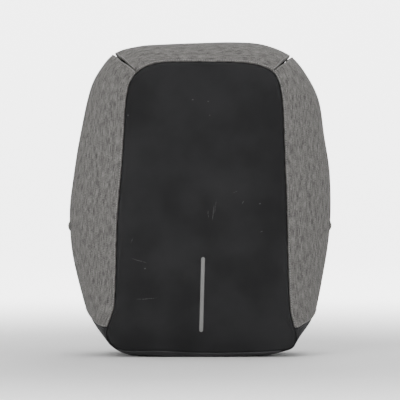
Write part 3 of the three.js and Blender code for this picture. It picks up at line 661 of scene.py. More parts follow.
def waves(points: Array, seed: int, size: float, height: float, count: int = 9) -> Array:
    """Soft unevenness: a sum of sines along random ways, with lengths about a size, of a given height.

    Args:
        points: where, (..., 3).
        seed: seed of the random ways.
        size: typical length of a wave.
        height: rough greatest height of the sum.
        count: how many sines.

    Returns:
        A height for each point.
    """
    rng = np.random.default_rng(seed)
    ways = unit(rng.normal(size=(count, 3)))
    pace = TURN / (size * rng.uniform(0.7, 1.8, count))
    start = rng.uniform(0.0, TURN, count)
    phase = np.tensordot(points, ways, axes=(-1, 1)) * pace + start
    return np.sin(phase).sum(axis=-1) * (height / math.sqrt(count) / 1.4)


def joined(parts: Sequence[Mesh]) -> Mesh:
    """Joins several sets of points and faces into one.

    Args:
        parts: points and faces of each part.

    Returns:
        Points and faces of the whole.
    """
    points, faces, start = [], [], 0
    for part_points, part_faces in parts:
        points.append(part_points)
        faces.extend([[index + start for index in face] for face in part_faces])
        start += len(part_points)
    return np.concatenate(points), faces


def repeated(template: Array, places: Array, along: Array, off: Array) -> Mesh:
    """Copies one small bar to many places.

    Args:
        template: the bar's rings, (rings, around, 3), as lengths along, aside and off.
        places: where its middle goes, (n, 3).
        along: the way along at each place, (n, 3).
        off: the way off the cloth at each place, (n, 3), or one for all, (3,).

    Returns:
        Points and faces.
    """
    rings, around = template.shape[:2]
    axes = np.stack(np.broadcast_arrays(along, np.cross(off, along), off), axis=1)
    points = places[:, None] + np.einsum("kc,ncd->nkd", template.reshape(-1, 3), axes)
    start = np.arange(len(places))[:, None, None] * (rings * around)
    ring = np.arange(around)
    caps = np.stack([ring[::-1], (rings - 1) * around + ring])
    quads = (start + grid_faces(rings, around, wrap=True)).reshape(-1, 4)
    return points.reshape(-1, 3), quads.tolist() + (start + caps).reshape(-1, around).tolist()


def stitch_row(path: Array, off: Array, pitch: float = 3.3 * MM) -> Mesh:
    """A row of stitches, one for each pitch of a path, each a capsule bent down at both ends.

    A capsule is five rings of six points. At a share s of its half length their radius is
    r (1 - 0.85 s^4), and their middle sinks by 0.9 r s^2.

    Args:
        path: the line that it follows, (n, 3).
        off: the way off the cloth at each point of the path, (n, 3), or one for all, (3,).
        pitch: distance from stitch to stitch.

    Returns:
        Points and faces.
    """
    run = lengths_along(path, 0)
    count = max(2, round(run[-1] / pitch))
    wanted = (np.arange(count) + 0.5) * run[-1] / count
    both = np.concatenate([path, np.broadcast_to(off, path.shape)], axis=-1)
    both = np.stack([np.interp(wanted, run, column) for column in both.T], axis=-1)
    middle = both[:, :3]
    s = np.linspace(-1.0, 1.0, 5)[:, None]
    angle = np.arange(6) / 6.0 * TURN
    size = STITCH_RADIUS * (1.0 - 0.85 * s**4)
    rise = STITCH_RADIUS * (0.2 - 0.9 * s**2)
    capsule = [s * 0.74 * pitch / 2.0, size * np.cos(angle), size * np.sin(angle) + rise]
    capsule = np.stack(np.broadcast_arrays(*capsule), axis=-1)
    return repeated(capsule, middle, unit(np.gradient(middle, axis=0)), unit(both[:, 3:]))


class Graph:
    """A short hand for a tree of shader nodes."""

    def __init__(self, tree: bpy.types.NodeTree) -> None:
        """Takes the tree that nodes are added to."""
        self.tree = tree

    def node(self, kind: str, inputs: dict | None = None, **settings: object) -> bpy.types.Node:
        """Adds a node.

        Args:
            kind: the node's type, without the leading ShaderNode.
            inputs: what each input gets, by name or number: a socket to link, or a value.
            settings: properties of the node.

        Returns:
            The node.
        """
        made = self.tree.nodes.new("ShaderNode" + kind)
        for key, value in settings.items():
            setattr(made, key, value)
        for key, value in (inputs or {}).items():
            if isinstance(value, Socket):
                self.tree.links.new(value, made.inputs[key])
            else:
                made.inputs[key].default_value = value
        return made

    def math(self, operation: str, *terms: object) -> Socket:
        """Adds a math node on sockets or numbers and returns its output."""
        return self.node("Math", dict(enumerate(terms)), operation=operation).outputs[0]

    def centred(self, value: Socket) -> Socket:
        """Takes a half from a value that runs from 0 to 1."""
        return self.math("SUBTRACT", value, 0.5)

    def axes(self, vector: Socket) -> Sequence[Socket]:
        """Parts a vector into its three numbers."""
        return self.node("SeparateXYZ", {0: vector}).outputs

    def noise(self, vector: Socket, scale: object, detail: float) -> Socket:
        """Adds a noise texture and returns its value."""
        return self.node("TexNoise", {"Vector": vector, "Scale": scale, "Detail": detail}).outputs[0]

    def counted(self, vector: Socket, length: Socket) -> Socket:
        """Divides a vector by a length and returns the vector."""
        inputs = {0: vector, "Scale": self.math("DIVIDE", 1.0, length)}
        return self.node("VectorMath", inputs, operation="SCALE").outputs[0]

    def stretched(self, vector: Socket, scale: Sequence[float]) -> Socket:
        """Adds a mapping that scales each axis by itself and returns its vector."""
        return self.node("Mapping", {"Vector": vector, "Scale": scale}).outputs[0]

    def ramp(self, value: Socket, low: float, high: float) -> Socket:
        """Maps low to 0 and high to 1, clipped and smooth, and returns the result."""
        inputs = {"Value": value, "From Min": low, "From Max": high}
        return self.node("MapRange", inputs, interpolation_type="SMOOTHSTEP").outputs[0]

    def mix(self, share: Socket, first: object, second: object) -> Socket:
        """Mixes two colours by a share and returns the colour."""
        return self.node("Mix", {0: share, 6: first, 7: second}, data_type="RGBA").outputs[2]

    def group(self, tree: bpy.types.NodeTree, vector: Socket, **numbers: float) -> Sequence[Socket]:
        """Places a node group with its vector and numbers and returns its outputs, which have names."""
        return self.node("Group", {"Vector": vector, **numbers}, node_tree=tree).outputs


class GroupGraph(Graph):
    """The nodes inside a shader node group, which takes a vector and numbers and gives numbers."""

    def __init__(self, name: str, numbers: Sequence[str], outputs: Sequence[str]) -> None:
        """Starts the group.

        Args:
            name: the group's name.
            numbers: names of the numbers that it takes beside its vector.
            outputs: names of the numbers that it gives.
        """
        super().__init__(bpy.data.node_groups.new(name, "ShaderNodeTree"))
        sockets = [("Vector", "INPUT", "NodeSocketVector")]
        sockets += [(number, "INPUT", "NodeSocketFloat") for number in numbers]
        sockets += [(output, "OUTPUT", "NodeSocketFloat") for output in outputs]
        for socket, direction, kind in sockets:
            self.tree.interface.new_socket(socket, in_out=direction, socket_type=kind)
        self.taken = self.tree.nodes.new("NodeGroupInput").outputs
        self.vector = self.taken["Vector"]
        self.given = self.tree.nodes.new("NodeGroupOutput").inputs

    def put_out(self, name: str, socket: Socket) -> None:
        """Links a socket to a named output of the group."""
        self.tree.links.new(socket, self.given[name])


def slub_group() -> bpy.types.NodeTree:
    """Melange threads: noise drawn out along the cloth's length and, weaker, across it, plus fleck.

    The vector is a place on the cloth in metres, with its first axis along the warp. The shade runs about
    a half, and the height is a plain weave, the product of two sines, roughened by the threads.

    Returns:
        The group.
    """
    graph = GroupGraph("melange_threads", ["Thread", "Warp", "Weft", "Fleck"], ["Shade", "Height"])
    cloth = graph.counted(graph.vector, graph.taken["Thread"])
    warp = graph.noise(graph.stretched(cloth, (0.042, 0.78, 1.0)), 1.0, 3.0)
    weft = graph.noise(graph.stretched(cloth, (0.7, 0.12, 1.0)), 1.0, 2.0)
    fleck = graph.noise(cloth, 1.1, 1.0)
    blotch = graph.noise(graph.stretched(cloth, (0.5, 1.0, 1.0)), 0.09, 3.0)
    strengths = (graph.taken["Warp"], graph.taken["Weft"], graph.taken["Fleck"], 0.95)
    shade = 0.5
    for noise, strength in zip((warp, weft, fleck, blotch), strengths):
        shade = graph.math("ADD", shade, graph.math("MULTIPLY", graph.centred(noise), strength))
    graph.put_out("Shade", shade)
    axes = graph.axes(cloth)
    rows = [graph.math("SINE", graph.math("MULTIPLY", axes[k], math.pi)) for k in (0, 1)]
    weave = graph.math("MULTIPLY", graph.math("MULTIPLY", *rows), 0.5)
    graph.put_out("Height", graph.math("ADD", weave, warp))
    return graph.tree


def weave_group() -> bpy.types.NodeTree:
    """A woven band or cloth: ribs that run across, crossed by finer threads. Its shade is painted shade in
    the grooves and painted highlight on the crests of the ribs and threads, plus a random worn tone.

    Returns:
        The group.
    """
    graph = GroupGraph("woven_ribs", ["Rib", "Thread"], ["Shade", "Height"])
    axes = graph.axes(graph.vector)
    sines = []
    for k, (pitch, strength) in enumerate((("Rib", 0.55), ("Thread", 0.35))):
        phase = graph.math("DIVIDE", graph.math("MULTIPLY", axes[k], TURN), graph.taken[pitch])
        sines.append(graph.math("MULTIPLY", graph.math("SINE", phase), strength))
    both = graph.math("ADD", *sines)
    fuzz = graph.noise(graph.vector, 1400.0, 2.0)
    worn = graph.noise(graph.vector, 28.0, 3.0)
    graph.put_out("Height", graph.math("ADD", both, graph.math("MULTIPLY", fuzz, 0.5)))
    # The shade follows the rib and thread heights, as painted shade in the grooves and painted highlight on
    # the crests, plus random worn noise.
    graph.put_out("Shade", graph.math("MULTIPLY", graph.math("ADD", both, worn), 0.5))
    return graph.tree


def mesh_group() -> bpy.types.NodeTree:
    """Spacer mesh: round openings in offset rows, from the distances to the points of two square nets.

    Returns:
        The group.
    """
    graph = GroupGraph("spacer_mesh", ["Pitch"], ["Open", "Height"])
    axes = graph.axes(graph.counted(graph.vector, graph.taken["Pitch"]))
    distances = []
    for shift in (0.0, 0.5):
        squares = []
        for axis in (0, 2):
            offset = graph.centred(graph.math("FRACT", graph.math("ADD", axes[axis], shift)))
            squares.append(graph.math("MULTIPLY", offset, offset))
        distances.append(graph.math("SQRT", graph.math("ADD", *squares)))
    wall = graph.ramp(graph.math("MINIMUM", *distances), 0.16, 0.3)
    # Open is the share that darkens the colour in the holes: painted shade in the recesses.
    graph.put_out("Open", graph.math("SUBTRACT", 1.0, wall))
    graph.put_out("Height", wall)
    return graph.tree


def grain_group() -> bpy.types.NodeTree:
    """Fine moulded or coated grain with a slow variation, both from the place on the object.

    Returns:
        The group.
    """
    graph = GroupGraph("fine_grain", ["Scale"], ["Grain", "Cloud"])
    graph.put_out("Grain", graph.noise(graph.vector, graph.taken["Scale"], 3.0))
    graph.put_out("Cloud", graph.ramp(graph.noise(graph.vector, 14.0, 4.0), 0.3, 0.7))
    return graph.tree


def scratch_group() -> bpy.types.NodeTree:
    """One scratch: a soft line of a length and width at a place and angle in the front view.

    The place is moved to the scratch's middle and turned by its angle, and the mark is the product of a
    falloff across its width and another towards its ends, broken up by noise.

    Returns:
        The group.
    """
    graph = GroupGraph("scratch", ["X", "Z", "Angle", "Length", "Width"], ["Mark"])
    axes, taken = graph.axes(graph.vector), graph.taken
    across = graph.math("SUBTRACT", axes[0], taken["X"])
    up = graph.math("SUBTRACT", axes[2], taken["Z"])
    cosine, sine = (graph.math(turn, taken["Angle"]) for turn in ("COSINE", "SINE"))
    along = [graph.math("MULTIPLY", across, cosine), graph.math("MULTIPLY", up, sine)]
    aside = [graph.math("MULTIPLY", up, cosine), graph.math("MULTIPLY", across, sine)]
    wander = graph.math("MULTIPLY", graph.centred(graph.noise(graph.vector, 60.0, 1.0)), 0.004)
    off_line = graph.math("ADD", graph.math("SUBTRACT", *aside), wander)
    near = graph.math("DIVIDE", graph.math("ABSOLUTE", off_line), taken["Width"])
    end = graph.math("DIVIDE", graph.math("ABSOLUTE", graph.math("ADD", *along)), taken["Length"])
    line = graph.math("MULTIPLY", graph.ramp(near, 0.5, 0.1), graph.ramp(end, 0.5, 0.2))
    broken = graph.ramp(graph.noise(graph.vector, 420.0, 2.0), 0.3, 0.55)
    graph.put_out("Mark", graph.math("MULTIPLY", line, broken))
    return graph.tree


class Place(Enum):
    """What a material reads its pattern from."""

    SURFACE = "UV"
    OBJECT = "Object"


@dataclass(frozen=True)
class Groups:
    """The shader node groups that the finishes share, built once."""

    threads: bpy.types.NodeTree
    weave: bpy.types.NodeTree
    mesh: bpy.types.NodeTree
    grain: bpy.types.NodeTree
    scratch: bpy.types.NodeTree


class Pattern(NamedTuple):
    """What a finish's nodes give its shader: a colour, a height with its depth and strength, and, where
    it varies, a roughness."""

    colour: Socket
    height: Socket
    depth: float
    strength: float
    roughness: Socket | None = None


@dataclass(frozen=True)
class Finish(ABC):
    """What every finish has: a name, a colour, how it reflects, and what its pattern follows."""

    name: str
    colour: tuple[float, float, float]
    roughness: float = 0.8
    specular: float = 0.5
    metallic: float = 0.0
    place: Place = Place.OBJECT

    @abstractmethod
    def pattern(self, graph: Graph, groups: Groups, vector: Socket) -> Pattern:
        """Adds the nodes that are the finish's own.

        Args:
            graph: the material's nodes.
            groups: the shared node groups.
            vector: the place that the pattern follows.

        Returns:
            What they give the shader.
        """

    def build(self, groups: Groups) -> bpy.types.Material:
        """Builds the material: plain values on the shader's own sockets, and the pattern linked to it.

        Args:
            groups: the shared node groups.

        Returns:
            The material.
        """
        material = bpy.data.materials.new(self.name)
        material.use_nodes = True
        graph = Graph(material.node_tree)
        sockets = material.node_tree.nodes["Principled BSDF"].inputs
        sockets["Base Color"].default_value = (*self.colour, 1.0)
        sockets["Roughness"].default_value = self.roughness
        sockets["Metallic"].default_value = self.metallic
        sockets["Specular IOR Level"].default_value = self.specular
        pattern = self.pattern(graph, groups, graph.node("TexCoord").outputs[self.place.value])
        raised = {"Strength": pattern.strength, "Distance": pattern.depth, "Height": pattern.height}
        graph.tree.links.new(pattern.colour, sockets["Base Color"])
        graph.tree.links.new(graph.node("Bump", raised).outputs[0], sockets["Normal"])
        if pattern.roughness is not None:
            graph.tree.links.new(pattern.roughness, sockets["Roughness"])
        return material

    def shaded(self, gain: float) -> tuple[float, float, float, float]:
        """The colour made lighter or darker by a gain."""
        return (*(min(1.0, part * gain) for part in self.colour), 1.0)


@dataclass(frozen=True)
class Melange(Finish):
    """Grey cloth of mixed light and dark threads."""

    place: Place = Place.SURFACE
    thread: float = 0.52 * MM
    warp: float = 2.2
    weft: float = 1.25
    fleck: float = 1.5

    def pattern(self, graph: Graph, groups: Groups, vector: Socket) -> Pattern:
        """Adds the melange threads.

        Args:
            graph: the material's nodes.
            groups: the shared node groups.
            vector: the place that the pattern follows.

        Returns:
            What they give the shader.
        """
        numbers = {"Thread": self.thread, "Warp": self.warp, "Weft": self.weft, "Fleck": self.fleck}
        threads = graph.group(groups.threads, vector, **numbers)
        colour = graph.mix(threads["Shade"], self.shaded(0.34), self.shaded(1.66))
        return Pattern(colour, threads["Height"], 0.25 * MM, 0.55)


class Mark(NamedTuple):
    """A straight mark in the front view: its middle, its angle in degrees, its length and width, and how
    light a scratch is or how high a crease is. All lengths are millimetres."""

    x: float
    z: float
    angle: float
    length: float
    width: float
    strength: float


SCRATCHES = (
    Mark(17.0, 199.0, 84.0, 26.0, 1.2, 0.36),
    Mark(20.0, 208.0, 82.0, 22.0, 1.3, 0.22),
    Mark(10.5, 197.5, 92.0, 12.0, 1.1, 0.36),
    Mark(57.5, 213.0, 60.0, 7.0, 1.3, 0.4),
    Mark(47.0, 227.0, 30.0, 9.0, 1.1, 0.3),
    Mark(81.0, 212.0, 0.0, 3.0, 2.2, 0.45),
    Mark(83.0, 173.0, 20.0, 5.0, 1.6, 0.35),
    Mark(-85.0, 133.0, -15.0, 26.0, 1.2, 0.3),
    Mark(-77.0, 122.5, 0.0, 3.0, 2.2, 0.45),
    Mark(-75.0, 81.0, 6.0, 34.0, 1.4, 0.34),
    Mark(-95.0, 161.0, 70.0, 10.0, 1.5, 0.3),
    Mark(-11.5, 355.0, 0.0, 3.0, 2.2, 0.35),
    Mark(10.0, 353.5, 0.0, 3.0, 2.2, 0.35),
    Mark(12.5, 333.0, 0.0, 3.0, 2.4, 0.4),
    Mark(-101.0, 334.0, 0.0, 3.0, 2.2, 0.35),
)


@dataclass(frozen=True)
class Coated(Finish):
    """Smooth dark coated cloth, rubbed and scratched in use."""

    scuffs: bool = False

    def pattern(self, graph: Graph, groups: Groups, vector: Socket) -> Pattern:
        """Adds a fine grain, a cloudy rub and, where asked for, the scratches.

        Args:
            graph: the material's nodes.
            groups: the shared node groups.
            vector: the place that the pattern follows.

        Returns:
            What they give the shader.
        """
        grain = graph.group(groups.grain, vector, Scale=1500.0)
        colour = graph.mix(grain["Cloud"], self.shaded(0.78), self.shaded(1.25))
        roughness = graph.math("MULTIPLY_ADD", grain["Cloud"], -0.12, self.roughness + 0.06)
        if self.scuffs:
            colour = graph.mix(self.scratched(graph, groups, vector), colour, (0.16, 0.16, 0.165, 1.0))
        return Pattern(colour, grain["Grain"], 0.12 * MM, 0.35, roughness)

    @staticmethod
    def scratched(graph: Graph, groups: Groups, vector: Socket) -> Socket:
        """Adds the scratches, each as light as its strength, and keeps the lightest at each place.

        Args:
            graph: the material's nodes.
            groups: the shared node groups.
            vector: the place that the pattern follows.

        Returns:
            How light the scratches are.
        """
        lightest = 0.0
        for mark in SCRATCHES:
            sizes = {"X": mark.x, "Z": mark.z, "Length": mark.length, "Width": mark.width}
            sizes = {name: size * MM for name, size in sizes.items()}
            scratch = graph.group(groups.scratch, vector, Angle=math.radians(mark.angle), **sizes)
            line = graph.math("MULTIPLY", scratch["Mark"], mark.strength)
            lightest = graph.math("MAXIMUM", lightest, line)
        return lightest


@dataclass(frozen=True)
class Woven(Finish):
    """Webbing, tape and plain woven cloth, ribbed across its length."""

    place: Place = Place.SURFACE
    rib: float = 1.6 * MM
    thread: float = 1.1 * MM
    depth: float = 0.3 * MM

    def pattern(self, graph: Graph, groups: Groups, vector: Socket) -> Pattern:
        """Adds the woven ribs.

        Args:
            graph: the material's nodes.
            groups: the shared node groups.
            vector: the place that the pattern follows.

        Returns:
            What they give the shader.
        """
        weave = graph.group(groups.weave, vector, Rib=self.rib, Thread=self.thread)
        # The ribs' painted shade and highlight, with their random worn tone, set the colour.
        colour = graph.mix(weave["Shade"], self.shaded(0.7), self.shaded(1.7))
        return Pattern(colour, weave["Height"], self.depth, 0.6)


@dataclass(frozen=True)
class SpacerMesh(Finish):
    """Padded air mesh with small round openings."""

    pitch: float = 3.2 * MM

    def pattern(self, graph: Graph, groups: Groups, vector: Socket) -> Pattern:
        """Adds the openings in a grained cloth, darkened in the colour as painted shade inside the holes.

        Args:
            graph: the material's nodes.
            groups: the shared node groups.
            vector: the place that the pattern follows.

        Returns:
            What they give the shader.
        """
        mesh = graph.group(groups.mesh, vector, Pitch=self.pitch)
        grain = graph.group(groups.grain, vector, Scale=900.0)
        cloth = graph.mix(grain["Grain"], self.shaded(0.8), self.shaded(1.5))
        # The colour falls to a quarter in the openings: painted shade inside the holes.
        return Pattern(graph.mix(mesh["Open"], cloth, self.shaded(0.25)), mesh["Height"], 0.7 * MM, 0.8)


@dataclass(frozen=True)
class Moulded(Finish):
    """Moulded plastic or plated metal with a fine grain."""

    grain: float = 1800.0
    depth: float = 0.05 * MM

    def pattern(self, graph: Graph, groups: Groups, vector: Socket) -> Pattern:
        """Adds the fine grain, a little uneven in gloss.

        Args:
            graph: the material's nodes.
            groups: the shared node groups.
            vector: the place that the pattern follows.

        Returns:
            What they give the shader.
        """
        grain = graph.group(groups.grain, vector, Scale=self.grain)
        colour = graph.mix(grain["Cloud"], self.shaded(0.85), self.shaded(1.25))
        roughness = graph.math("MULTIPLY_ADD", grain["Cloud"], 0.14, self.roughness - 0.07)
        return Pattern(colour, grain["Grain"], self.depth, 0.4, roughness)


class Wardrobe:
    """Every material of the bag, by what it is."""

    def __init__(self) -> None:
        """Builds the shared groups and then each finish."""
        groups = Groups(slub_group(), weave_group(), mesh_group(), grain_group(), scratch_group())
        finishes = {
            "melange": Melange("melange_cloth", (0.1365, 0.132, 0.1268), roughness=0.95, specular=0.15),
            "front": Coated(
                "coated_front", (0.0122, 0.0122, 0.0129), roughness=0.6, specular=0.16, scuffs=True
            ),
            "base": Coated("coated_base", (0.021, 0.021, 0.022), roughness=0.7, specular=0.12),
            # The foot piping is a dark piping coloured lighter than the base, so that it paints the
            # highlight line along the foot's fold.
            "piping": Coated("foot_piping_painted_highlight", (0.034, 0.034, 0.036), roughness=0.5, specular=0.3),
            "fold": Coated("folded_lining", (0.006, 0.006, 0.0062), roughness=0.9, specular=0.1),
            "mesh": SpacerMesh("air_mesh", (0.02, 0.02, 0.021), roughness=0.92, specular=0.25),
            "board": SpacerMesh("board_mesh", (0.016, 0.016, 0.017), roughness=0.92, pitch=2.4 * MM),
            "webbing": Woven("ribbed_webbing", (0.016, 0.016, 0.017), roughness=0.78),
            "tape": Woven("zip_tape", (0.0095, 0.0095, 0.01), roughness=0.85, rib=0.9 * MM, depth=0.15 * MM),
            "binding": Woven("edge_binding", (0.014, 0.014, 0.015), roughness=0.8, rib=1.1 * MM),
            "coil": Moulded("zip_coil", (0.045, 0.045, 0.047), roughness=0.4),
            "buckle": Moulded("moulded_buckle", (0.014, 0.014, 0.015), roughness=0.48),
            "metal": Moulded("dark_plated_metal", (0.09, 0.09, 0.095), roughness=0.34, metallic=0.95),
            "reflective": Moulded(
                "beaded_reflective_tape",
                (0.158, 0.158, 0.154),
                roughness=0.45,
                grain=2600.0,
                depth=0.08 * MM,
            ),
            "grey_thread": Moulded("grey_sewing_thread", (0.25, 0.246, 0.24), roughness=0.7),
            "dark_thread": Moulded("dark_sewing_thread", (0.05, 0.05, 0.052), roughness=0.6),
        }
        self.materials = {name: finish.build(groups) for name, finish in finishes.items()}

    def __getitem__(self, name: str) -> bpy.types.Material:
        """The material of a name."""
        return self.materials[name]


def dress(obj: Piece, material: bpy.types.Material, nodes: Sequence[str] = ()) -> Piece:
    """Gives a piece its material and its place in the part.

    Args:
        obj: the piece.
        material: its material.
        nodes: the part's solids that it stands for.

    Returns:
        The piece.
    """
    obj.data.materials.clear()
    obj.data.materials.append(material)
    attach(obj, "root")
    if nodes:
        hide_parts(*nodes)
    LOG.info("%s: %d faces", obj.name, len(obj.data.polygons))
    return obj


@dataclass(frozen=True)
class Hem:
    """How a cut edge of the shell is finished: rolled under, with a ridge and a sunk line of stitches."""

    roll: float = 2.0 * MM
    ridge: float = 0.35 * MM
    ridge_width: float = 1.2 * MM
    stitch_from_edge: float = 3.4 * MM
    sink: float = 0.35 * MM
    sink_width: float = 0.8 * MM
    pucker: float = 0.28 * MM
    pucker_length: float = 13.0 * MM
    pucker_width: float = 4.0 * MM

    def height(self, distance: Array) -> Array:
        """Height of the hem at a distance from the edge: a bell before the stitches, less a bell at them."""
        ridge = self.ridge * bell(distance - 0.55 * self.stitch_from_edge, self.ridge_width)
        return ridge - self.sink * bell(distance - self.stitch_from_edge, self.sink_width)

    def puckers(self, distance: Array, run: Array) -> Array:
        """Puckers inside the stitches: a sine along the edge with a wandering pace, times a bell across."""
        phase = TURN * run / self.pucker_length + 2.4 * np.sin(run / (2.9 * self.pucker_length))
        return self.pucker * np.sin(phase) * bell(distance - 2.2 * self.stitch_from_edge, self.pucker_width)


CREASES = (
    Mark(-162.0, 185.0, 88.0, 70.0, 5.0, 1.1),
    Mark(-176.0, 190.0, 66.0, 40.0, 4.5, -1.2),
    Mark(-170.0, 120.0, 100.0, 60.0, 6.0, -1.3),
    Mark(-150.0, 95.0, 104.0, 66.0, 5.0, 0.9),
    Mark(-142.0, 345.0, 60.0, 60.0, 7.0, -1.0),
    Mark(-152.0, 285.0, 80.0, 80.0, 8.0, 0.8),
    Mark(-131.0, 250.0, 93.0, 90.0, 7.0, -0.7),
    Mark(168.0, 170.0, 82.0, 80.0, 6.0, -1.1),
    Mark(158.0, 118.0, 77.0, 70.0, 5.0, 1.0),
    Mark(146.0, 88.0, 70.0, 60.0, 5.0, -1.0),
    Mark(150.0, 320.0, 112.0, 80.0, 8.0, -0.9),
    Mark(141.0, 250.0, 88.0, 90.0, 8.0, 0.7),
    Mark(60.0, 422.0, 2.0, 80.0, 5.0, -0.8),
    Mark(-50.0, 420.0, -3.0, 70.0, 5.0, 0.7),
)


def crease_height(points: Array) -> Array:
    """Height of all creases at points of the front half: a bell across each and a softer one along it.

    Args:
        points: where, (..., 3).

    Returns:
        A height for each point, which fades to nothing at the widest line.
    """
    total = np.zeros(points.shape[:-1])
    for crease in CREASES:
        angle = math.radians(crease.angle)
        dx, dz = points[..., 0] - crease.x * MM, points[..., 2] - crease.z * MM
        along = dx * math.cos(angle) + dz * math.sin(angle)
        aside = dz * math.cos(angle) - dx * math.sin(angle)
        bells = bell(aside, crease.width * MM) * bell(along, crease.length * MM / 2.0)
        total += crease.strength * MM * bells
    return total * smoothstep(-points[..., 1], -FORM.rim_depth - 8.0 * MM, 4.0 * MM)


@dataclass
class ShellPanel:
    """One panel of the shell between two ends, each a function of t."""

    name: str
    start_at: Along
    end_at: Along
    seed: int
    last_t: float = 1.0
    wall: float = 4.0 * MM
    unevenness: float = 0.7 * MM
    wave_size: float = 95.0 * MM
    hem: Hem = Hem()
    fine: float = 0.5 * MM
    coarse: float = 2.4 * MM
    fine_edge: float = 6.0 * MM
    fade_from: float = 2.0 * MM
    fade_to: float = 26.0 * MM
    tuck: float = 0.0
    tuck_width: float = 11.0 * MM
    clearance: float = 5.0 * MM

    def __post_init__(self) -> None:
        """Works out the panel's surfaces."""
        self.outer, self.inner, self.normal, self.uv = self.surfaces()

    def grid(self) -> tuple[Array, Array]:
        """Station and t of each point: rows along the stations and columns across, close near the edges.

        Returns:
            Station numbers and t, both (rows, columns).
        """
        typical = 0.3
        first, last = (end(np.array([typical]))[0] for end in (self.start_at, self.end_at))
        probe = np.linspace(0.0, self.last_t, 400)
        run = lengths_along(FORM.surface((first + last) / 2.0, probe), 0)
        t = np.interp(edge_spaced(run[-1], self.fine, self.coarse, self.fine_edge) * run[-1], run, probe)
        length = lengths_along(FORM.surface(np.linspace(first, last, 300), typical), 0)[-1]
        q = edge_spaced(length, self.fine, self.coarse, self.fine_edge)[:, None]
        station = lerp(self.start_at(t), self.end_at(t), q)
        return station, np.broadcast_to(t, station.shape)

    def surfaces(self) -> tuple[Array, Array, Array, Array]:
        """Works out the panel: soft waves and creases that fade at the edges, hems and puckers on them,
        the edges rolled under, and the ends tucked in.

        Returns:
            Outer points, inner points, normals and places on the surface.
        """
        station, t = self.grid()
        flat = FORM.surface(station, t)
        normal = FORM.normal(station, t)
        across, along = lengths_along(flat, 1), lengths_along(flat, 0)
        seam, rear = across, across[:, -1:] - across
        ends = (along, along[-1:] - along)
        raised = waves(flat, self.seed, self.wave_size, self.unevenness) + crease_height(flat)
        nearest = np.minimum.reduce([seam, rear, *ends])
        raised = raised * smoothstep(nearest, self.fade_from, self.fade_to)
        raised = raised + sum(self.hem.height(distance) for distance in (seam, rear, *ends))
        raised = raised + self.hem.puckers(seam, along) + self.hem.puckers(rear, along + across[:, -1:])
        raised = raised - rolled_under(self.hem.roll, seam, rear, *ends)
        raised = raised - self.tuck * sum(bell(distance, self.tuck_width) for distance in ends)
        outer = flat + normal * raised[..., None]
        outer[..., 2] = np.maximum(outer[..., 2], 0.0)
        inner = flat - normal * self.wall
        clear = FORM.front_depth(inner[..., XZ]) + self.clearance
        inner[..., 1] = np.maximum(inner[..., 1], np.minimum(clear, FORM.back_depth - self.wall))
        inner[..., 2] = np.maximum(inner[..., 2], self.wall)
        typical_along = along[:, along.shape[1] // 3, None]
        return outer, inner, normal, np.stack(np.broadcast_arrays(typical_along, across), axis=-1)

    def build(self) -> Piece:
        """Builds the panel as a closed sheet."""
        return make_object(self.name, *closed_sheet(self.outer, self.inner, self.uv))

    def stitches(self, at_seam: bool = True) -> Piece:
        """Builds the stitches along the panel's hems: beside the seam, beside the zip and along its ends.

        Args:
            at_seam: whether there are stitches beside the seam.

        Returns:
            The stitches.
        """
        across, along = lengths_along(self.outer, 1), lengths_along(self.outer, 0)
        inset = self.hem.stitch_from_edge
        rows = []
        for distance in (across, across[:, -1:] - across)[0 if at_seam else 1 :]:
            column = np.argmin(np.abs(distance.mean(0) - inset))
            rows.append(stitch_row(self.outer[:, column], self.normal[:, column]))
        for distance in (along, along[-1:] - along):
            row = np.argmin(np.abs(distance.mean(1) - inset))
            rows.append(stitch_row(self.outer[row, 8:-8], self.normal[row, 8:-8]))
        return make_object(self.name + "_stitches", *joined(rows))


class TipRise(NamedTuple):
    """How far the seam at a side panel's tip lies above the tip's station, in stations, at a t."""

    t: float
    right: float
    left: float


TIP_RISE = (
    TipRise(0.0, 0.0, 0.0),
    TipRise(0.05, -0.1, -0.09),
    TipRise(0.1, -0.14, -0.14),
    TipRise(0.2, -0.06, -0.15),
    TipRise(0.3, 0.0, -0.06),
    TipRise(0.4, 0.09, 0.14),
    TipRise(0.5, 0.28, 0.43),
    TipRise(0.6, 0.52, 0.74),
    TipRise(0.8, 0.26, 0.37),
    TipRise(1.0, 0.0, 0.0),
)


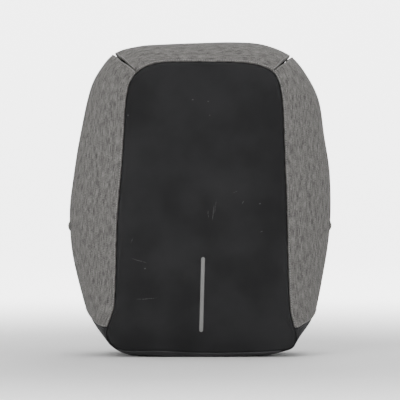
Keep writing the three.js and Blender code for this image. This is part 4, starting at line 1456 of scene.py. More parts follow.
@dataclass
class Shell:
    """The padded sides and top with their slits, the dark base, and what closes the slits."""

    slit_at_seam: float = 0.6 * MM
    slit_at_rim: float = 2.4 * MM
    slit_at_zip: float = 1.2 * MM
    slit_waver: float = 0.5 * MM
    hole: float = 2.3 * MM
    hole_t: float = 0.3
    hole_reach: float = 0.05
    fold_from: float = 0.1
    fold_to: float = 0.92
    fold_under: float = 4.7 * MM
    fold_depth: float = 15.0 * MM
    fold_reach: float = 9.0 * MM
    fold_share: float = 0.6
    fold_wall: float = 1.0 * MM

    def slit_width(self, t: Array) -> Array:
        """The slit's width: a hairline by the seam, a small hole on the way, widest at the widest line and
        closing to the zip, with an edge that wavers.

        Args:
            t: places across the profile.

        Returns:
            A width for each place.
        """
        rim = FORM.rim_share
        opening = lerp(self.slit_at_seam, self.slit_at_rim, np.clip(t / rim, 0.0, 1.0) ** 2.2)
        closed = lerp(self.slit_at_rim, self.slit_at_zip, np.clip((t - rim) / (1.0 - rim), 0.0, 1.0))
        waver = self.slit_waver * np.sin(t * 47.0) * np.sin(t * 17.0 + 0.7) * smoothstep(t, 0.02, 0.2)
        hole = self.hole * bell(t - self.hole_t, self.hole_reach)
        return np.where(t <= rim, opening, closed) + hole + waver

    def slit(self, side: Side, way: int) -> Along:
        """Where a panel ends at a slit: below the slit's station for way -1 and above it for +1."""
        corner = CORNER[side]
        return lambda t: corner + way * FORM.stations_for(self.slit_width(t) / 2.0, corner, t)

    def tip(self, side: Side, way: int) -> Along:
        """Where a side panel meets the base: a smooth curve through the tips' table, less half the seam.

        Args:
            side: the bag's side.
            way: 1 for the panel above the tip's station and -1 for the one below, counted round the bag.

        Returns:
            The end's station as a function of t.
        """
        tip = TIP[side]
        curve = smooth_path(np.array(TIP_RISE), 0.01)
        rise = curve[:, TipRise._fields.index(side.word)]

        def end(t: Array) -> Array:
            """The end's station at t."""
            gap = way * FORM.stations_for(FORM.seam_gap / 2.0, tip, t)
            return tip + side.value * np.interp(t, curve[:, 0], rise) + gap

        return end

    def panels(self) -> dict[str, ShellPanel]:
        """The four panels, by node.

        Returns:
            The panels, each by the node that it replaces.
        """
        right, left = Side.RIGHT, Side.LEFT
        base_end = self.tip(right, -1)
        return {
            "side_panel_right": ShellPanel("side_right", self.tip(right, 1), self.slit(right, -1), 3),
            "top_panel": ShellPanel("top", self.slit(right, 1), self.slit(left, -1), 5, unevenness=0.6 * MM),
            "side_panel_left": ShellPanel("side_left", self.slit(left, 1), self.tip(left, -1), 8),
            "base_panel": ShellPanel(
                "base",
                self.tip(left, 1),
                lambda t: base_end(t) + COUNT,
                13,
                last_t=FORM.board_share,
                unevenness=0.35 * MM,
                hem=Hem(roll=0.9 * MM, ridge=0.0, sink=0.2 * MM, pucker=0.1 * MM),
                coarse=3.4 * MM,
                tuck=2.2 * MM,
            ),
        }

    def gusset(self, side: Side) -> Piece:
        """The folded cloth inside a slit: under the panels at its edges, with a rounded valley between.

        Its depth is a rest below the panels, plus a valley that follows cos^2 across the slit and a hump
        along it.

        Args:
            side: the bag's side.

        Returns:
            The piece.
        """
        rim = FORM.rim_share
        t = np.linspace(self.fold_from, self.fold_to, 60)
        a = np.linspace(-1.0, 1.0, 41)[:, None]
        station = CORNER[side] + a * FORM.stations_for(self.fold_reach, CORNER[side], t)
        hump = 1.0 - np.abs(t - rim) / np.where(t < rim, rim, 1.0 - rim)
        fold = np.cos(np.clip(a / self.fold_share, -1.0, 1.0) * math.pi / 2.0) ** 2
        depth = self.fold_under + self.fold_depth * hump * fold
        normal = FORM.normal(station, t)
        outer = FORM.surface(station, t) - normal * depth[..., None]
        sheet = closed_sheet(outer, outer - normal * self.fold_wall, places_on(outer))
        return make_object(f"gusset_{side.word}", *sheet)

    def build(self, wardrobe: Wardrobe) -> None:
        """Builds and dresses the shell.

        Args:
            wardrobe: the bag's materials.
        """
        for node, panel in self.panels().items():
            low = node == "base_panel"
            cloth, thread = ("base", "dark_thread") if low else ("melange", "grey_thread")
            dress(panel.build(), wardrobe[cloth], [node])
            dress(panel.stitches(at_seam=not low), wardrobe[thread])
        for side in Side:
            dress(self.gusset(side), wardrobe["fold"], [f"corner_gusset_{side.word}"])


@dataclass
class Front:
    """The smooth front panel, the welt along its foot and the reflective strip."""

    wall: float = 4.5 * MM
    roll: float = 2.6 * MM
    ridge: float = 0.5 * MM
    ridge_from_seam: float = 3.2 * MM
    ridge_width: float = 2.2 * MM
    fade_from: float = 0.5 * MM
    fade_to: float = 14.0 * MM
    rim_rings: float = 150.0 * MM
    welt_radius: float = 1.1 * MM
    strip_width: float = 5.1 * MM
    strip_length: float = 103.0 * MM
    strip_height: float = 86.8 * MM
    strip_aside: float = 1.5 * MM
    strip_tilt: float = math.radians(1.5)
    strip_wall: float = 0.6 * MM
    strip_bed: float = 0.35 * MM
    bed_from: float = 0.2 * MM
    bed_to: float = 1.6 * MM
    seat: float = 0.15 * MM

    def lift(self, flat: Array) -> Array:
        """Soft unevenness of the panel, and the shallow bed that the strip is pressed into.

        Args:
            flat: places in the front view, (..., 2).

        Returns:
            A height for each place.
        """
        level = at_depth(flat, 0.0)
        soft = waves(level, seed=21, size=120.0 * MM, height=0.6 * MM)
        soft = soft + waves(level, seed=22, size=48.0 * MM, height=0.12 * MM)
        dx, dz = flat[..., 0] - self.strip_aside, flat[..., 1] - self.strip_height
        along = dx * math.sin(self.strip_tilt) + dz * math.cos(self.strip_tilt)
        aside = dx * math.cos(self.strip_tilt) - dz * math.sin(self.strip_tilt)
        beyond = np.maximum(np.abs(along) - (self.strip_length - self.strip_width) / 2.0, 0.0)
        distance = np.hypot(aside, beyond) - self.strip_width / 2.0
        return soft - self.strip_bed * (1.0 - smoothstep(distance, self.bed_from, self.bed_to))

    def place(self, flat: Array, lift: Array) -> Array:
        """Points on the panel at places of the front view, lifted along its normal."""
        return at_depth(flat, FORM.front_depth(flat)) + FORM.front_normal(flat) * lift[..., None]

    def panel(self) -> Piece:
        """The panel: rings from the seam in to the middle, each a share of the way, rolled at the seam.

        Returns:
            The piece.
        """
        station = np.linspace(0.0, COUNT, COUNT * 10, endpoint=False)[None]
        edge = FORM.seam(station, -FORM.seam_gap / 2.0)[..., XZ]
        near = np.arange(0.0, 6.0, 0.5) * MM / self.rim_rings
        share = np.concatenate([near, np.linspace(0.04, 0.985, 62)])[:, None]
        flat = lerp(edge, FORM.middle, share[..., None])
        tangent = unit(np.roll(edge, -1, axis=1) - np.roll(edge, 1, axis=1))
        outward = unit(edge - FORM.middle)
        square = np.abs(outward[..., 0] * tangent[..., 1] - outward[..., 1] * tangent[..., 0])
        distance = share * np.linalg.norm(edge - FORM.middle, axis=-1) * square
        lift = self.lift(flat) * smoothstep(distance, self.fade_from, self.fade_to)
        lift = lift + self.ridge * bell(distance - self.ridge_from_seam, self.ridge_width)
        lift = lift - rolled_under(self.roll, distance)
        inner = self.place(flat, np.full(lift.shape, -self.wall))
        return make_object("front", *closed_cap(self.place(flat, lift), inner))

    def welt(self) -> Piece:
        """The welt in the seam at the foot: a thin tube along the seam from sole to sole.

        Returns:
            The piece.
        """
        station = np.linspace(TIP[Side.LEFT] + 2.4, TIP[Side.RIGHT] + COUNT - 2.6, 320)
        path = FORM.seam(station)
        way = FORM.front_normal(path[:, XZ])
        path = path - way * (self.welt_radius * 0.9)
        across = np.cross(unit(np.gradient(path, axis=0)), way)
        section = rounded_section(2.0 * self.welt_radius, 2.0 * self.welt_radius, 2.0, 12)
        return make_object("foot_welt", *closed_tube(sweep(path, across, section)))

    def strip(self) -> Piece:
        """The strip: rows along it as wide as its round ends allow, crowned a little across.

        Returns:
            The piece.
        """
        along = np.sin(np.linspace(-1.0, 1.0, 161) * math.pi / 2.0)[:, None] * self.strip_length / 2.0
        radius = self.strip_width / 2.0
        in_end = np.clip((np.abs(along) - (self.strip_length / 2.0 - radius)) / radius, 0.0, 1.0)
        b = np.linspace(-1.0, 1.0, 17)
        aside = radius * np.maximum(np.sqrt(1.0 - in_end**2), 0.02) * b
        x = self.strip_aside + aside * math.cos(self.strip_tilt) + along * math.sin(self.strip_tilt)
        z = self.strip_height + along * math.cos(self.strip_tilt) - aside * math.sin(self.strip_tilt)
        flat = np.stack([x, z], axis=-1)
        seat = self.lift(flat) + self.seat
        crown = self.strip_wall * (1.0 - np.abs(b) ** 6 * 0.7) * (1.0 - 0.7 * in_end**6)
        uv = np.stack(np.broadcast_arrays(along, aside), axis=-1)
        outer, inner = self.place(flat, seat + crown), self.place(flat, seat)
        return make_object("strip", *closed_sheet(outer, inner, uv))

    def build(self, wardrobe: Wardrobe) -> None:
        """Builds and dresses the front.

        Args:
            wardrobe: the bag's materials.
        """
        dress(self.panel(), wardrobe["front"], ["front_panel"])
        # The welt's lighter colour is a painted highlight along the seam at the foot.
        dress(self.welt(), wardrobe["piping"])
        dress(self.strip(), wardrobe["reflective"], ["reflective_strip"])


@dataclass
class SideTabs:
    """The small folded tabs sewn in at the widest line."""

    length: float = 13.0 * MM
    proud: float = 2.0 * MM
    height: float = 180.0 * MM
    reach: float = 0.09
    gap: float = 0.2 * MM
    rim: float = 0.1 * MM

    def tab(self, side: Side, near: float) -> Piece:
        """One tab: a small pillow on the side, highest along its middle.

        Args:
            side: the bag's side.
            near: a station near its height.

        Returns:
            The piece.
        """
        stations = np.linspace(near - 1.5, near + 1.5, 600)
        heights = FORM.surface(stations, FORM.rim_share)[:, 2]
        station = stations[np.argmin(np.abs(heights - self.height))]
        a = np.linspace(-1.0, 1.0, 25)[:, None]
        b = np.linspace(-1.0, 1.0, 31)
        t = FORM.rim_share + self.reach * b
        here = station + a * FORM.stations_for(self.length / 2.0, station, t)
        crown = self.rim + (self.proud - self.rim) * (1.0 - a**2) ** 1.3 * (1.0 - b**4)
        normal = FORM.normal(here, t)
        ground = FORM.surface(here, t) + normal * self.gap
        outer = ground + normal * crown[..., None]
        return make_object(f"tab_{side.word}", *closed_sheet(outer, ground, places_on(outer)))

    def build(self, wardrobe: Wardrobe) -> None:
        """Builds and dresses both tabs.

        Args:
            wardrobe: the bag's materials.
        """
        near = {Side.RIGHT: number_of("low_right") + 0.5, Side.LEFT: number_of("waist_left") + 0.4}
        for side in Side:
            tab = self.tab(side, near[side])
            dress(tab, wardrobe["melange"], [f"side_tab_{side.word}"])


@dataclass
class Zip:
    """The zip round the back edge: tape, coil, and two sliders with their pulls."""

    tape_wall: float = 1.4 * MM
    tape_margin: float = 0.35 * MM
    tape_rise: float = 0.5 * MM
    tape_rise_width: float = 1.8 * MM
    tape_sink: float = 0.15 * MM
    coil_width: float = 5.4 * MM
    coil_pitch: float = 1.7 * MM
    coil_radius: float = 0.55 * MM
    coil_height: float = 1.25 * MM
    coil_lift: float = 0.1 * MM
    slider_place: float = 14.0 * MM
    slider_lift: float = 0.5 * MM
    slider: tuple[float, float, float] = (10.0 * MM, 4.3 * MM, 8.4 * MM)
    bridge_tall: float = 1.0 * MM
    bridge_lift: float = 0.4 * MM
    bridge_width: float = 2.2 * MM
    bridge_wall: float = 0.9 * MM
    pull_drop: float = 0.2 * MM
    pull_length: float = 26.0 * MM
    pull_width: float = 6.0 * MM
    pull_wall: float = 1.6 * MM

    def tape(self) -> Piece:
        """The tape: two bands that rise a little to the coil between them.

        Returns:
            The piece.
        """
        stations = np.linspace(TIP[Side.RIGHT] + 0.04, TIP[Side.LEFT] - 0.04, 520)[:, None]
        w = np.linspace(self.tape_margin, FORM.zip_width - self.tape_margin, 25)
        flat = FORM.zip_edge(stations, w[:, None])
        hump = bell(w - FORM.zip_width / 2.0, self.tape_rise_width)
        rise = self.tape_rise * hump - self.tape_sink
        outer = flat + REARWARD * rise[:, None]
        inner = flat - REARWARD * self.tape_wall
        return make_object("zip_tape", *closed_sheet(outer, inner, places_on(flat)))

    def coil(self) -> Piece:
        """The closed coil: a bent bar for each tooth, which bows by 1 - s^4, moved one way and the other.

        Returns:
            The piece.
        """
        stations = np.linspace(TIP[Side.RIGHT] + 0.06, TIP[Side.LEFT] - 0.06, 3000)
        path = respaced(FORM.zip_edge(stations, FORM.zip_width / 2.0), self.coil_pitch)
        along = unit(np.gradient(path, axis=0))
        way = np.where(np.arange(len(path)) % 2 == 0, 1.0, -1.0)[:, None]
        s = np.linspace(-1.0, 1.0, 5)[:, None]
        angle = np.arange(6) / 6.0 * TURN
        tooth = [
            0.12 * self.coil_pitch * s + self.coil_radius * np.cos(angle),
            s * 0.36 * self.coil_width,
            self.coil_height * (1.0 - s**4) + self.coil_lift + self.coil_radius * np.sin(angle),
        ]
        tooth = np.stack(np.broadcast_arrays(*tooth), axis=-1)
        middle = path + np.cross(REARWARD, along) * way * 0.14 * self.coil_width
        return make_object("zip_coil", *repeated(tooth, middle, along, REARWARD))

    def slider_mesh(self, side: Side) -> Piece:
        """One slider: a rounded body, a bridge over it and a flat pull with a round end.

        Args:
            side: the bag's side.

        Returns:
            The piece.
        """
        station = TOP_MID + FORM.stations_for(-side.value * self.slider_place, TOP_MID, 1.0)
        here = FORM.zip_edge(station, FORM.zip_width / 2.0) + REARWARD * self.slider_lift
        long, tall, wide = self.slider
        body_tall = tall - self.bridge_tall
        s = np.linspace(-1.0, 1.0, 21)
        ends = closing(s, 8.0, 0.02)
        section = rounded_section(wide * (1.0 - 0.28 * np.abs(s) ** 3) * ends, body_tall * ends, 4.0, 24)
        body = sweep(SIDEWAYS * (s * long / 2.0)[:, None], UPWARD, section)
        arch = np.linspace(0.0, math.pi, 17)
        rise = 0.2 * tall + 0.62 * tall * np.sin(arch) ** 0.6
        bridge = np.stack([-0.32 * long * np.cos(arch), rise, 0.0 * arch], axis=-1)
        section = rounded_section(self.bridge_width, self.bridge_wall, 3.0, 12)
        bridge = sweep(bridge, UPWARD, section)
        u = np.linspace(0.0, 1.0, 41)
        end = closing(np.clip(1.0 - (1.0 - u) * 7.0, 0.0, 1.0), 2.0, 0.02)
        waist = lerp(0.62, 1.0, smoothstep(u, 0.1, 0.4))
        wall = self.pull_wall * lerp(0.6, 1.0, end)
        section = rounded_section(self.pull_width * end * waist, wall, 4.0, 20)
        top = REARWARD * (tall - self.pull_drop)
        pull = sweep(top - UPWARD * (u * self.pull_length)[:, None], SIDEWAYS, section)
        seats = ((body, body_tall / 2.0), (bridge, self.bridge_lift), (pull, 0.0))
        parts = [closed_tube(rings + (here + REARWARD * lift))[:2] for rings, lift in seats]
        return make_object(f"slider_{side.word}", *joined(parts))

    def build(self, wardrobe: Wardrobe) -> None:
        """Builds and dresses the zip.

        Args:
            wardrobe: the bag's materials.
        """
        dress(self.tape(), wardrobe["tape"], ["zip_chain"])
        dress(self.coil(), wardrobe["coil"])
        for side in Side:
            dress(self.slider_mesh(side), wardrobe["metal"], [f"zip_slider_{side.word}"])


def read_points(obj: Piece) -> Array:
    """A piece's points, (n, 3).

    Args:
        obj: the piece.

    Returns:
        Its points, (n, 3).
    """
    points = np.empty(len(obj.data.vertices) * 3)
    obj.data.vertices.foreach_get("co", points)
    return points.reshape(-1, 3)


def write_points(obj: Piece, points: Array) -> None:
    """Moves a piece's points to new places."""
    obj.data.vertices.foreach_set("co", points.ravel())
    obj.data.update()


def bake_modifiers(obj: Piece) -> None:
    """Replaces a piece's mesh by what its modifiers make of it, and removes them.

    Args:
        obj: the piece.
    """
    graph = bpy.context.evaluated_depsgraph_get()
    made = bpy.data.meshes.new_from_object(obj.evaluated_get(graph), depsgraph=graph)
    obj.modifiers.clear()
    old = obj.data
    obj.data = made
    bpy.data.meshes.remove(old)


def add_remesh(obj: Piece, voxel: float) -> None:
    """Adds a voxel remesh, which turns a piece's parts into one even mesh.

    Args:
        obj: the piece.
        voxel: size of the remesh.
    """
    remesh = obj.modifiers.new("remesh", "REMESH")
    remesh.mode = "VOXEL"
    remesh.voxel_size = voxel


def subdivide(obj: Piece) -> None:
    """Adds a subdivision surface of equal view and render levels and applies it.

    Args:
        obj: the piece.
    """
    modifier = obj.modifiers.new("subdivision", "SUBSURF")
    modifier.levels = 1
    modifier.render_levels = 1
    bake_modifiers(obj)
    obj.data.shade_smooth()


def inflate(obj: Piece, voxel: float, pressure: float, cap: float) -> None:
    """Swells a padded piece as foam does under its cover: remeshes it, lets cloth push out under pressure
    without gravity for twenty frames, and keeps each point within a cap of where it was.

    Args:
        obj: the piece.
        voxel: size of the remesh.
        pressure: pressure of the simulation.
        cap: furthest that a point may move.
    """
    add_remesh(obj, voxel)
    bake_modifiers(obj)
    rest = read_points(obj)
    cloth = obj.modifiers.new("cloth", "CLOTH")
    cloth.settings.quality = 4
    cloth.settings.mass = 0.2
    cloth.settings.tension_stiffness = 12.0
    cloth.settings.compression_stiffness = 12.0
    cloth.settings.bending_stiffness = 0.6
    cloth.settings.use_pressure = True
    cloth.settings.uniform_pressure_force = pressure
    cloth.settings.effector_weights.gravity = 0.0
    cloth.collision_settings.use_collision = False
    cloth.point_cache.frame_start = 1
    cloth.point_cache.frame_end = 20
    for step in range(1, 21):
        bpy.context.scene.frame_set(step)
    bake_modifiers(obj)
    bpy.context.scene.frame_set(1)
    shift = read_points(obj) - rest
    size = np.linalg.norm(shift, axis=-1, keepdims=True)
    write_points(obj, rest + shift * np.minimum(1.0, cap / np.maximum(size, 1e-9)))
    obj.data.shade_smooth()


def swell(obj: Piece, voxel: float, pressure: float, cap: float, seat: float) -> Piece:
    """Inflates a padded piece, keeps it behind the plane of equal y that it lies on, and smooths it.

    Args:
        obj: the piece.
        voxel: size of the remesh.
        pressure: pressure of the simulation.
        cap: furthest that a point may move.
        seat: the plane's y.

    Returns:
        The piece.
    """
    inflate(obj, voxel, pressure, cap)
    write_points(obj, np.maximum(read_points(obj), [-np.inf, seat, -np.inf]))
    subdivide(obj)
    return obj


@dataclass(frozen=True)
class Patch:
    """A flat sewn patch with round corners, thinner within its border, lying on the board."""

    width: float
    tall: float
    wall: float
    squareness: float
    border: float
    around: int
    steps: int

    def build(self, name: str, middle: Array, up: Array, seat: float) -> Piece:
        """Builds the patch from superellipse rings drawn in to its middle.

        Its wall is between 0.45 and 1 of the full one by the share sqrt(1 - e^2), where e goes from 0 at the
        border's inside to 1 at the rim.

        Args:
            name: the piece's name.
            middle: its middle in the front view, (2,).
            up: the way that its height runs there, (2,).
            seat: the depth that it lies on.

        Returns:
            The piece.
        """
        inside = 1.0 - self.border
        rings = [np.linspace(1.0, inside, 8), np.linspace(inside - 0.04, 0.05, self.steps)]
        r = np.concatenate(rings)[:, None]
        angle = np.linspace(0.0, TURN, self.around, endpoint=False)
        across, rise = superellipse(angle, self.squareness)
        a, b = across * r * self.width / 2.0, rise * r * self.tall / 2.0
        flat = middle + np.array([up[1], -up[0]]) * a[..., None] + up * b[..., None]
        e = np.clip((r - inside) / self.border, 0.0, 1.0)
        top = seat + self.wall * lerp(0.45, 1.0, np.sqrt(1.0 - e**2))
        return make_object(name, *closed_cap(at_depth(flat, top), at_depth(flat, seat)))


@dataclass
class Back:
    """The back board with its binding and pads, the yoke, and the grab handle."""

    board_wall: float = 6.0 * MM
    board_proud: float = 2.0 * MM
    board_roll: float = 2.0 * MM
    board_fade: float = 10.0 * MM
    board_highest: float = 0.2 * MM
    rim_rings: float = 160.0 * MM
    quilt_inset: float = 15.0 * MM
    quilt_depth: float = 0.9 * MM
    quilt_width: float = 1.6 * MM
    binding_width: float = 6.0 * MM
    binding_wall: float = 1.5 * MM
    binding_inset: float = 3.6 * MM
    binding_rise: float = 0.35 * MM
    seat_gap: float = 0.3 * MM
    pad_proud: float = 7.0 * MM
    pad_shrink: float = 1.5 * MM
    pad_edge: float = 1.6 * MM
    pad_swelling: float = 3.0 * MM
    pad_channel: float = 26.0 * MM
    long_width: float = 76.0 * MM
    long_below: float = 84.0 * MM
    low_width: float = 176.0 * MM
    low_above: float = 45.0 * MM
    low_tall: float = 72.0 * MM
    pad_apart: float = 14.0 * MM
    yoke: Patch = Patch(
        width=176.0 * MM, tall=26.0 * MM, wall=2.4 * MM, squareness=14.0, border=0.1, around=160, steps=14
    )
    root_below: float = 64.0 * MM
    yoke_lift: float = 6.0 * MM
    handle_span: float = 88.0 * MM
    handle_below: float = 13.0 * MM
    handle_standoff: float = 30.0 * MM
    handle_width: float = 20.0 * MM
    handle_wall: float = 5.0 * MM
    handle_thin: float = 0.56
    row_inset: float = 3.0 * MM
    row_from_end: float = 4.0 * MM
    tack_inset: float = 1.6 * MM
    tack_apart: float = 1.7 * MM

    def __post_init__(self) -> None:
        """Works out where the board's face, the seat of what lies on it, its head and its foot are."""
        self.face = FORM.back_depth + self.board_proud
        self.seat = self.face + self.seat_gap
        self.head = float(FORM.zip_edge(TOP_MID, FORM.zip_width)[2])
        self.foot = float(FORM.zip_edge(0.0, FORM.zip_width)[2])

    def board(self) -> Piece:
        """The board: rings from its edge to the middle, rolled at the edge and sunk along quilted lines.

        Returns:
            The piece.
        """
        station = np.linspace(0.0, COUNT, COUNT * 9, endpoint=False)[None]
        edge = FORM.zip_edge(station, FORM.zip_width + FORM.seam_gap)[..., XZ]
        near = np.arange(0.0, 7.0, 0.7) * MM / self.rim_rings
        share = np.concatenate([near, np.linspace(0.045, 0.985, 60)])[:, None]
        flat = lerp(edge, FORM.middle, share[..., None])
        distance = share * np.linalg.norm(edge - FORM.middle, axis=-1)
        soft = waves(at_depth(flat, 0.0), seed=31, size=70.0 * MM, height=0.3 * MM)
        soft = soft * smoothstep(distance, self.board_roll, self.board_fade)
        quilt = self.quilt_depth * bell(distance - self.quilt_inset, self.quilt_width)
        depth = self.face - rolled_under(self.board_roll, distance) - quilt + soft
        outer = at_depth(flat, np.minimum(depth, self.face + self.board_highest))
        return make_object("board", *closed_cap(outer, at_depth(flat, self.face - self.board_wall)))

    def binding(self) -> Piece:
        """The bound edge of the board: a flat rounded band that runs all the way round it.

        Returns:
            The piece.
        """
        steps, around = 700, 14
        station = np.linspace(0.0, COUNT, steps, endpoint=False)
        path = FORM.zip_edge(station, FORM.zip_width + self.binding_inset)
        path[:, 1] = self.face + self.binding_rise
        along = unit(np.roll(path, -1, axis=0) - np.roll(path, 1, axis=0))
        aside = np.cross(along, REARWARD)
        section = rounded_section(self.binding_width, self.binding_wall, 3.0, around)
        rings = path[:, None] + aside[:, None] * section[..., :1] + REARWARD * section[..., 1:]
        faces = grid_faces(steps + 1, around, wrap=True) % (steps * around)
        uv = places_on(rings).reshape(-1, 2)
        return make_object("board_binding", rings.reshape(-1, 3), faces.tolist(), uv)

    def pad(self, name: str, middle: float, width: float, foot: float, head: float) -> Piece:
        """A pad: rings of a rounded rectangle, crowned by (1 - r^6), then swollen by simulation.

        Args:
            name: the piece's name.
            middle: x of its middle.
            width: its width.
            foot: height of its foot.
            head: height of its head.

        Returns:
            The piece.
        """
        across, up = superellipse(np.linspace(0.0, TURN, 96, endpoint=False), 5.0)
        r = np.linspace(1.0, 0.04, 20)[:, None]
        x = middle + across * r * (width / 2.0 - self.pad_shrink)
        z = (foot + head) / 2.0 + up * r * ((head - foot) / 2.0 - self.pad_shrink)
        flat = np.stack([x, z], axis=-1)
        crown = self.seat + self.pad_edge + (self.pad_proud - self.pad_swelling) * (1.0 - r**6)
        obj = make_object(name, *closed_cap(at_depth(flat, crown), at_depth(flat, self.seat)))
        return swell(obj, voxel=2.6 * MM, pressure=4.0, cap=2.2 * MM, seat=self.seat)

    def handle(self) -> Piece:
        """The grab handle: a band that bows out from its sewn ends by 1 - |s|^2.6 and thickens between.

        Returns:
            The piece.
        """
        s = np.linspace(-1.0, 1.0, 121)
        bow = np.maximum(0.0, 1.0 - np.abs(s / 0.84) ** 2.6)
        flat = np.stack([s * self.handle_span / 2.0, 0.0 * s + self.head - self.handle_below], axis=-1)
        path = at_depth(flat, self.seat + self.handle_wall / 2.0 + self.handle_standoff * bow)
        wall = lerp(self.handle_thin, 1.0, smoothstep(bow, 0.05, 0.5)) * self.handle_wall
        wall = wall * closing(s, 40.0, 0.03)
        section = rounded_section(self.handle_width * lerp(0.9, 1.0, bow), wall, 3.4, 28)
        rings = sweep(path, UPWARD, section)
        rings[..., 1] += np.maximum(0.0, self.seat - rings[..., 1].min(axis=1, keepdims=True))
        return make_object("handle", *closed_tube(rings))

    def stitches(self) -> Piece:
        """Rows of stitches along the yoke's long edges, and four bar tacks on each end of the handle.

        Returns:
            The piece.
        """
        top = self.seat + self.yoke.wall
        end = self.yoke.width / 2.0 - self.row_from_end
        rows = []
        middle = self.head - self.root_below + self.yoke_lift
        for way in (-1, 1):
            level = middle + way * (self.yoke.tall / 2.0 - self.row_inset)
            rows.append(stitch_row(np.linspace([-end, top, level], [end, top, level], 80), REARWARD))
        grip = self.seat + self.handle_thin * self.handle_wall
        level = self.head - self.handle_below
        reach = 0.36 * self.handle_width
        for side in Side:
            for step in range(4):
                x = side.value * (self.handle_span / 2.0 - self.tack_inset - self.tack_apart * step)
                line = np.linspace([x, grip, level - reach], [x, grip, level + reach], 20)
                rows.append(stitch_row(line, REARWARD, TACK_PITCH))
        return make_object("back_stitches", *joined(rows))

    def build(self, wardrobe: Wardrobe) -> None:
        """Builds and dresses the back.

        Args:
            wardrobe: the bag's materials.
        """
        dress(self.board(), wardrobe["board"], ["back_board"])
        dress(self.binding(), wardrobe["binding"])
        low = (self.foot + self.low_above, self.foot + self.low_above + self.low_tall)
        long = (low[1] + self.pad_apart, self.head - self.long_below)
        aside = (self.pad_channel + self.long_width) / 2.0
        pads = {
            "back_pad_right": (aside, self.long_width, *long),
            "back_pad_left": (-aside, self.long_width, *long),
            "lumbar_pad": (0.0, self.low_width, *low),
        }
        for node, sizes in pads.items():
            pad = dress(self.pad(node + "_cover", *sizes), wardrobe["mesh"], [node])
        middle = np.array([0.0, self.head - self.root_below + self.yoke_lift])
        yoke = self.yoke.build("yoke", middle, UPWARD[XZ], self.seat)
        dress(yoke, wardrobe["webbing"], ["strap_yoke"])
        dress(self.handle(), wardrobe["webbing"], ["grab_handle"])
        dress(self.stitches(), wardrobe["dark_thread"])


class Bend(NamedTuple):
    """A point of the shoulder strap's route: fall of its drop, out of its stand-off, apart of its spread."""

    fall: float
    out: float
    apart: float


STRAP_ROUTE = (
    Bend(0.0, 0.0, 0.0),
    Bend(-0.05, 0.02, 0.0),
    Bend(-0.105, 0.16, 0.0),
    Bend(-0.135, 0.48, 0.01),
    Bend(-0.1, 0.78, 0.03),
    Bend(0.0, 0.96, 0.08),
    Bend(0.22, 1.0, 0.26),
    Bend(0.48, 0.97, 0.52),
    Bend(0.74, 0.84, 0.79),
    Bend(0.94, 0.64, 1.0),
)
BOX_CORNERS = ((-1.0, 1.0), (-1.0, -1.0), (1.0, -1.0), (1.0, 1.0))


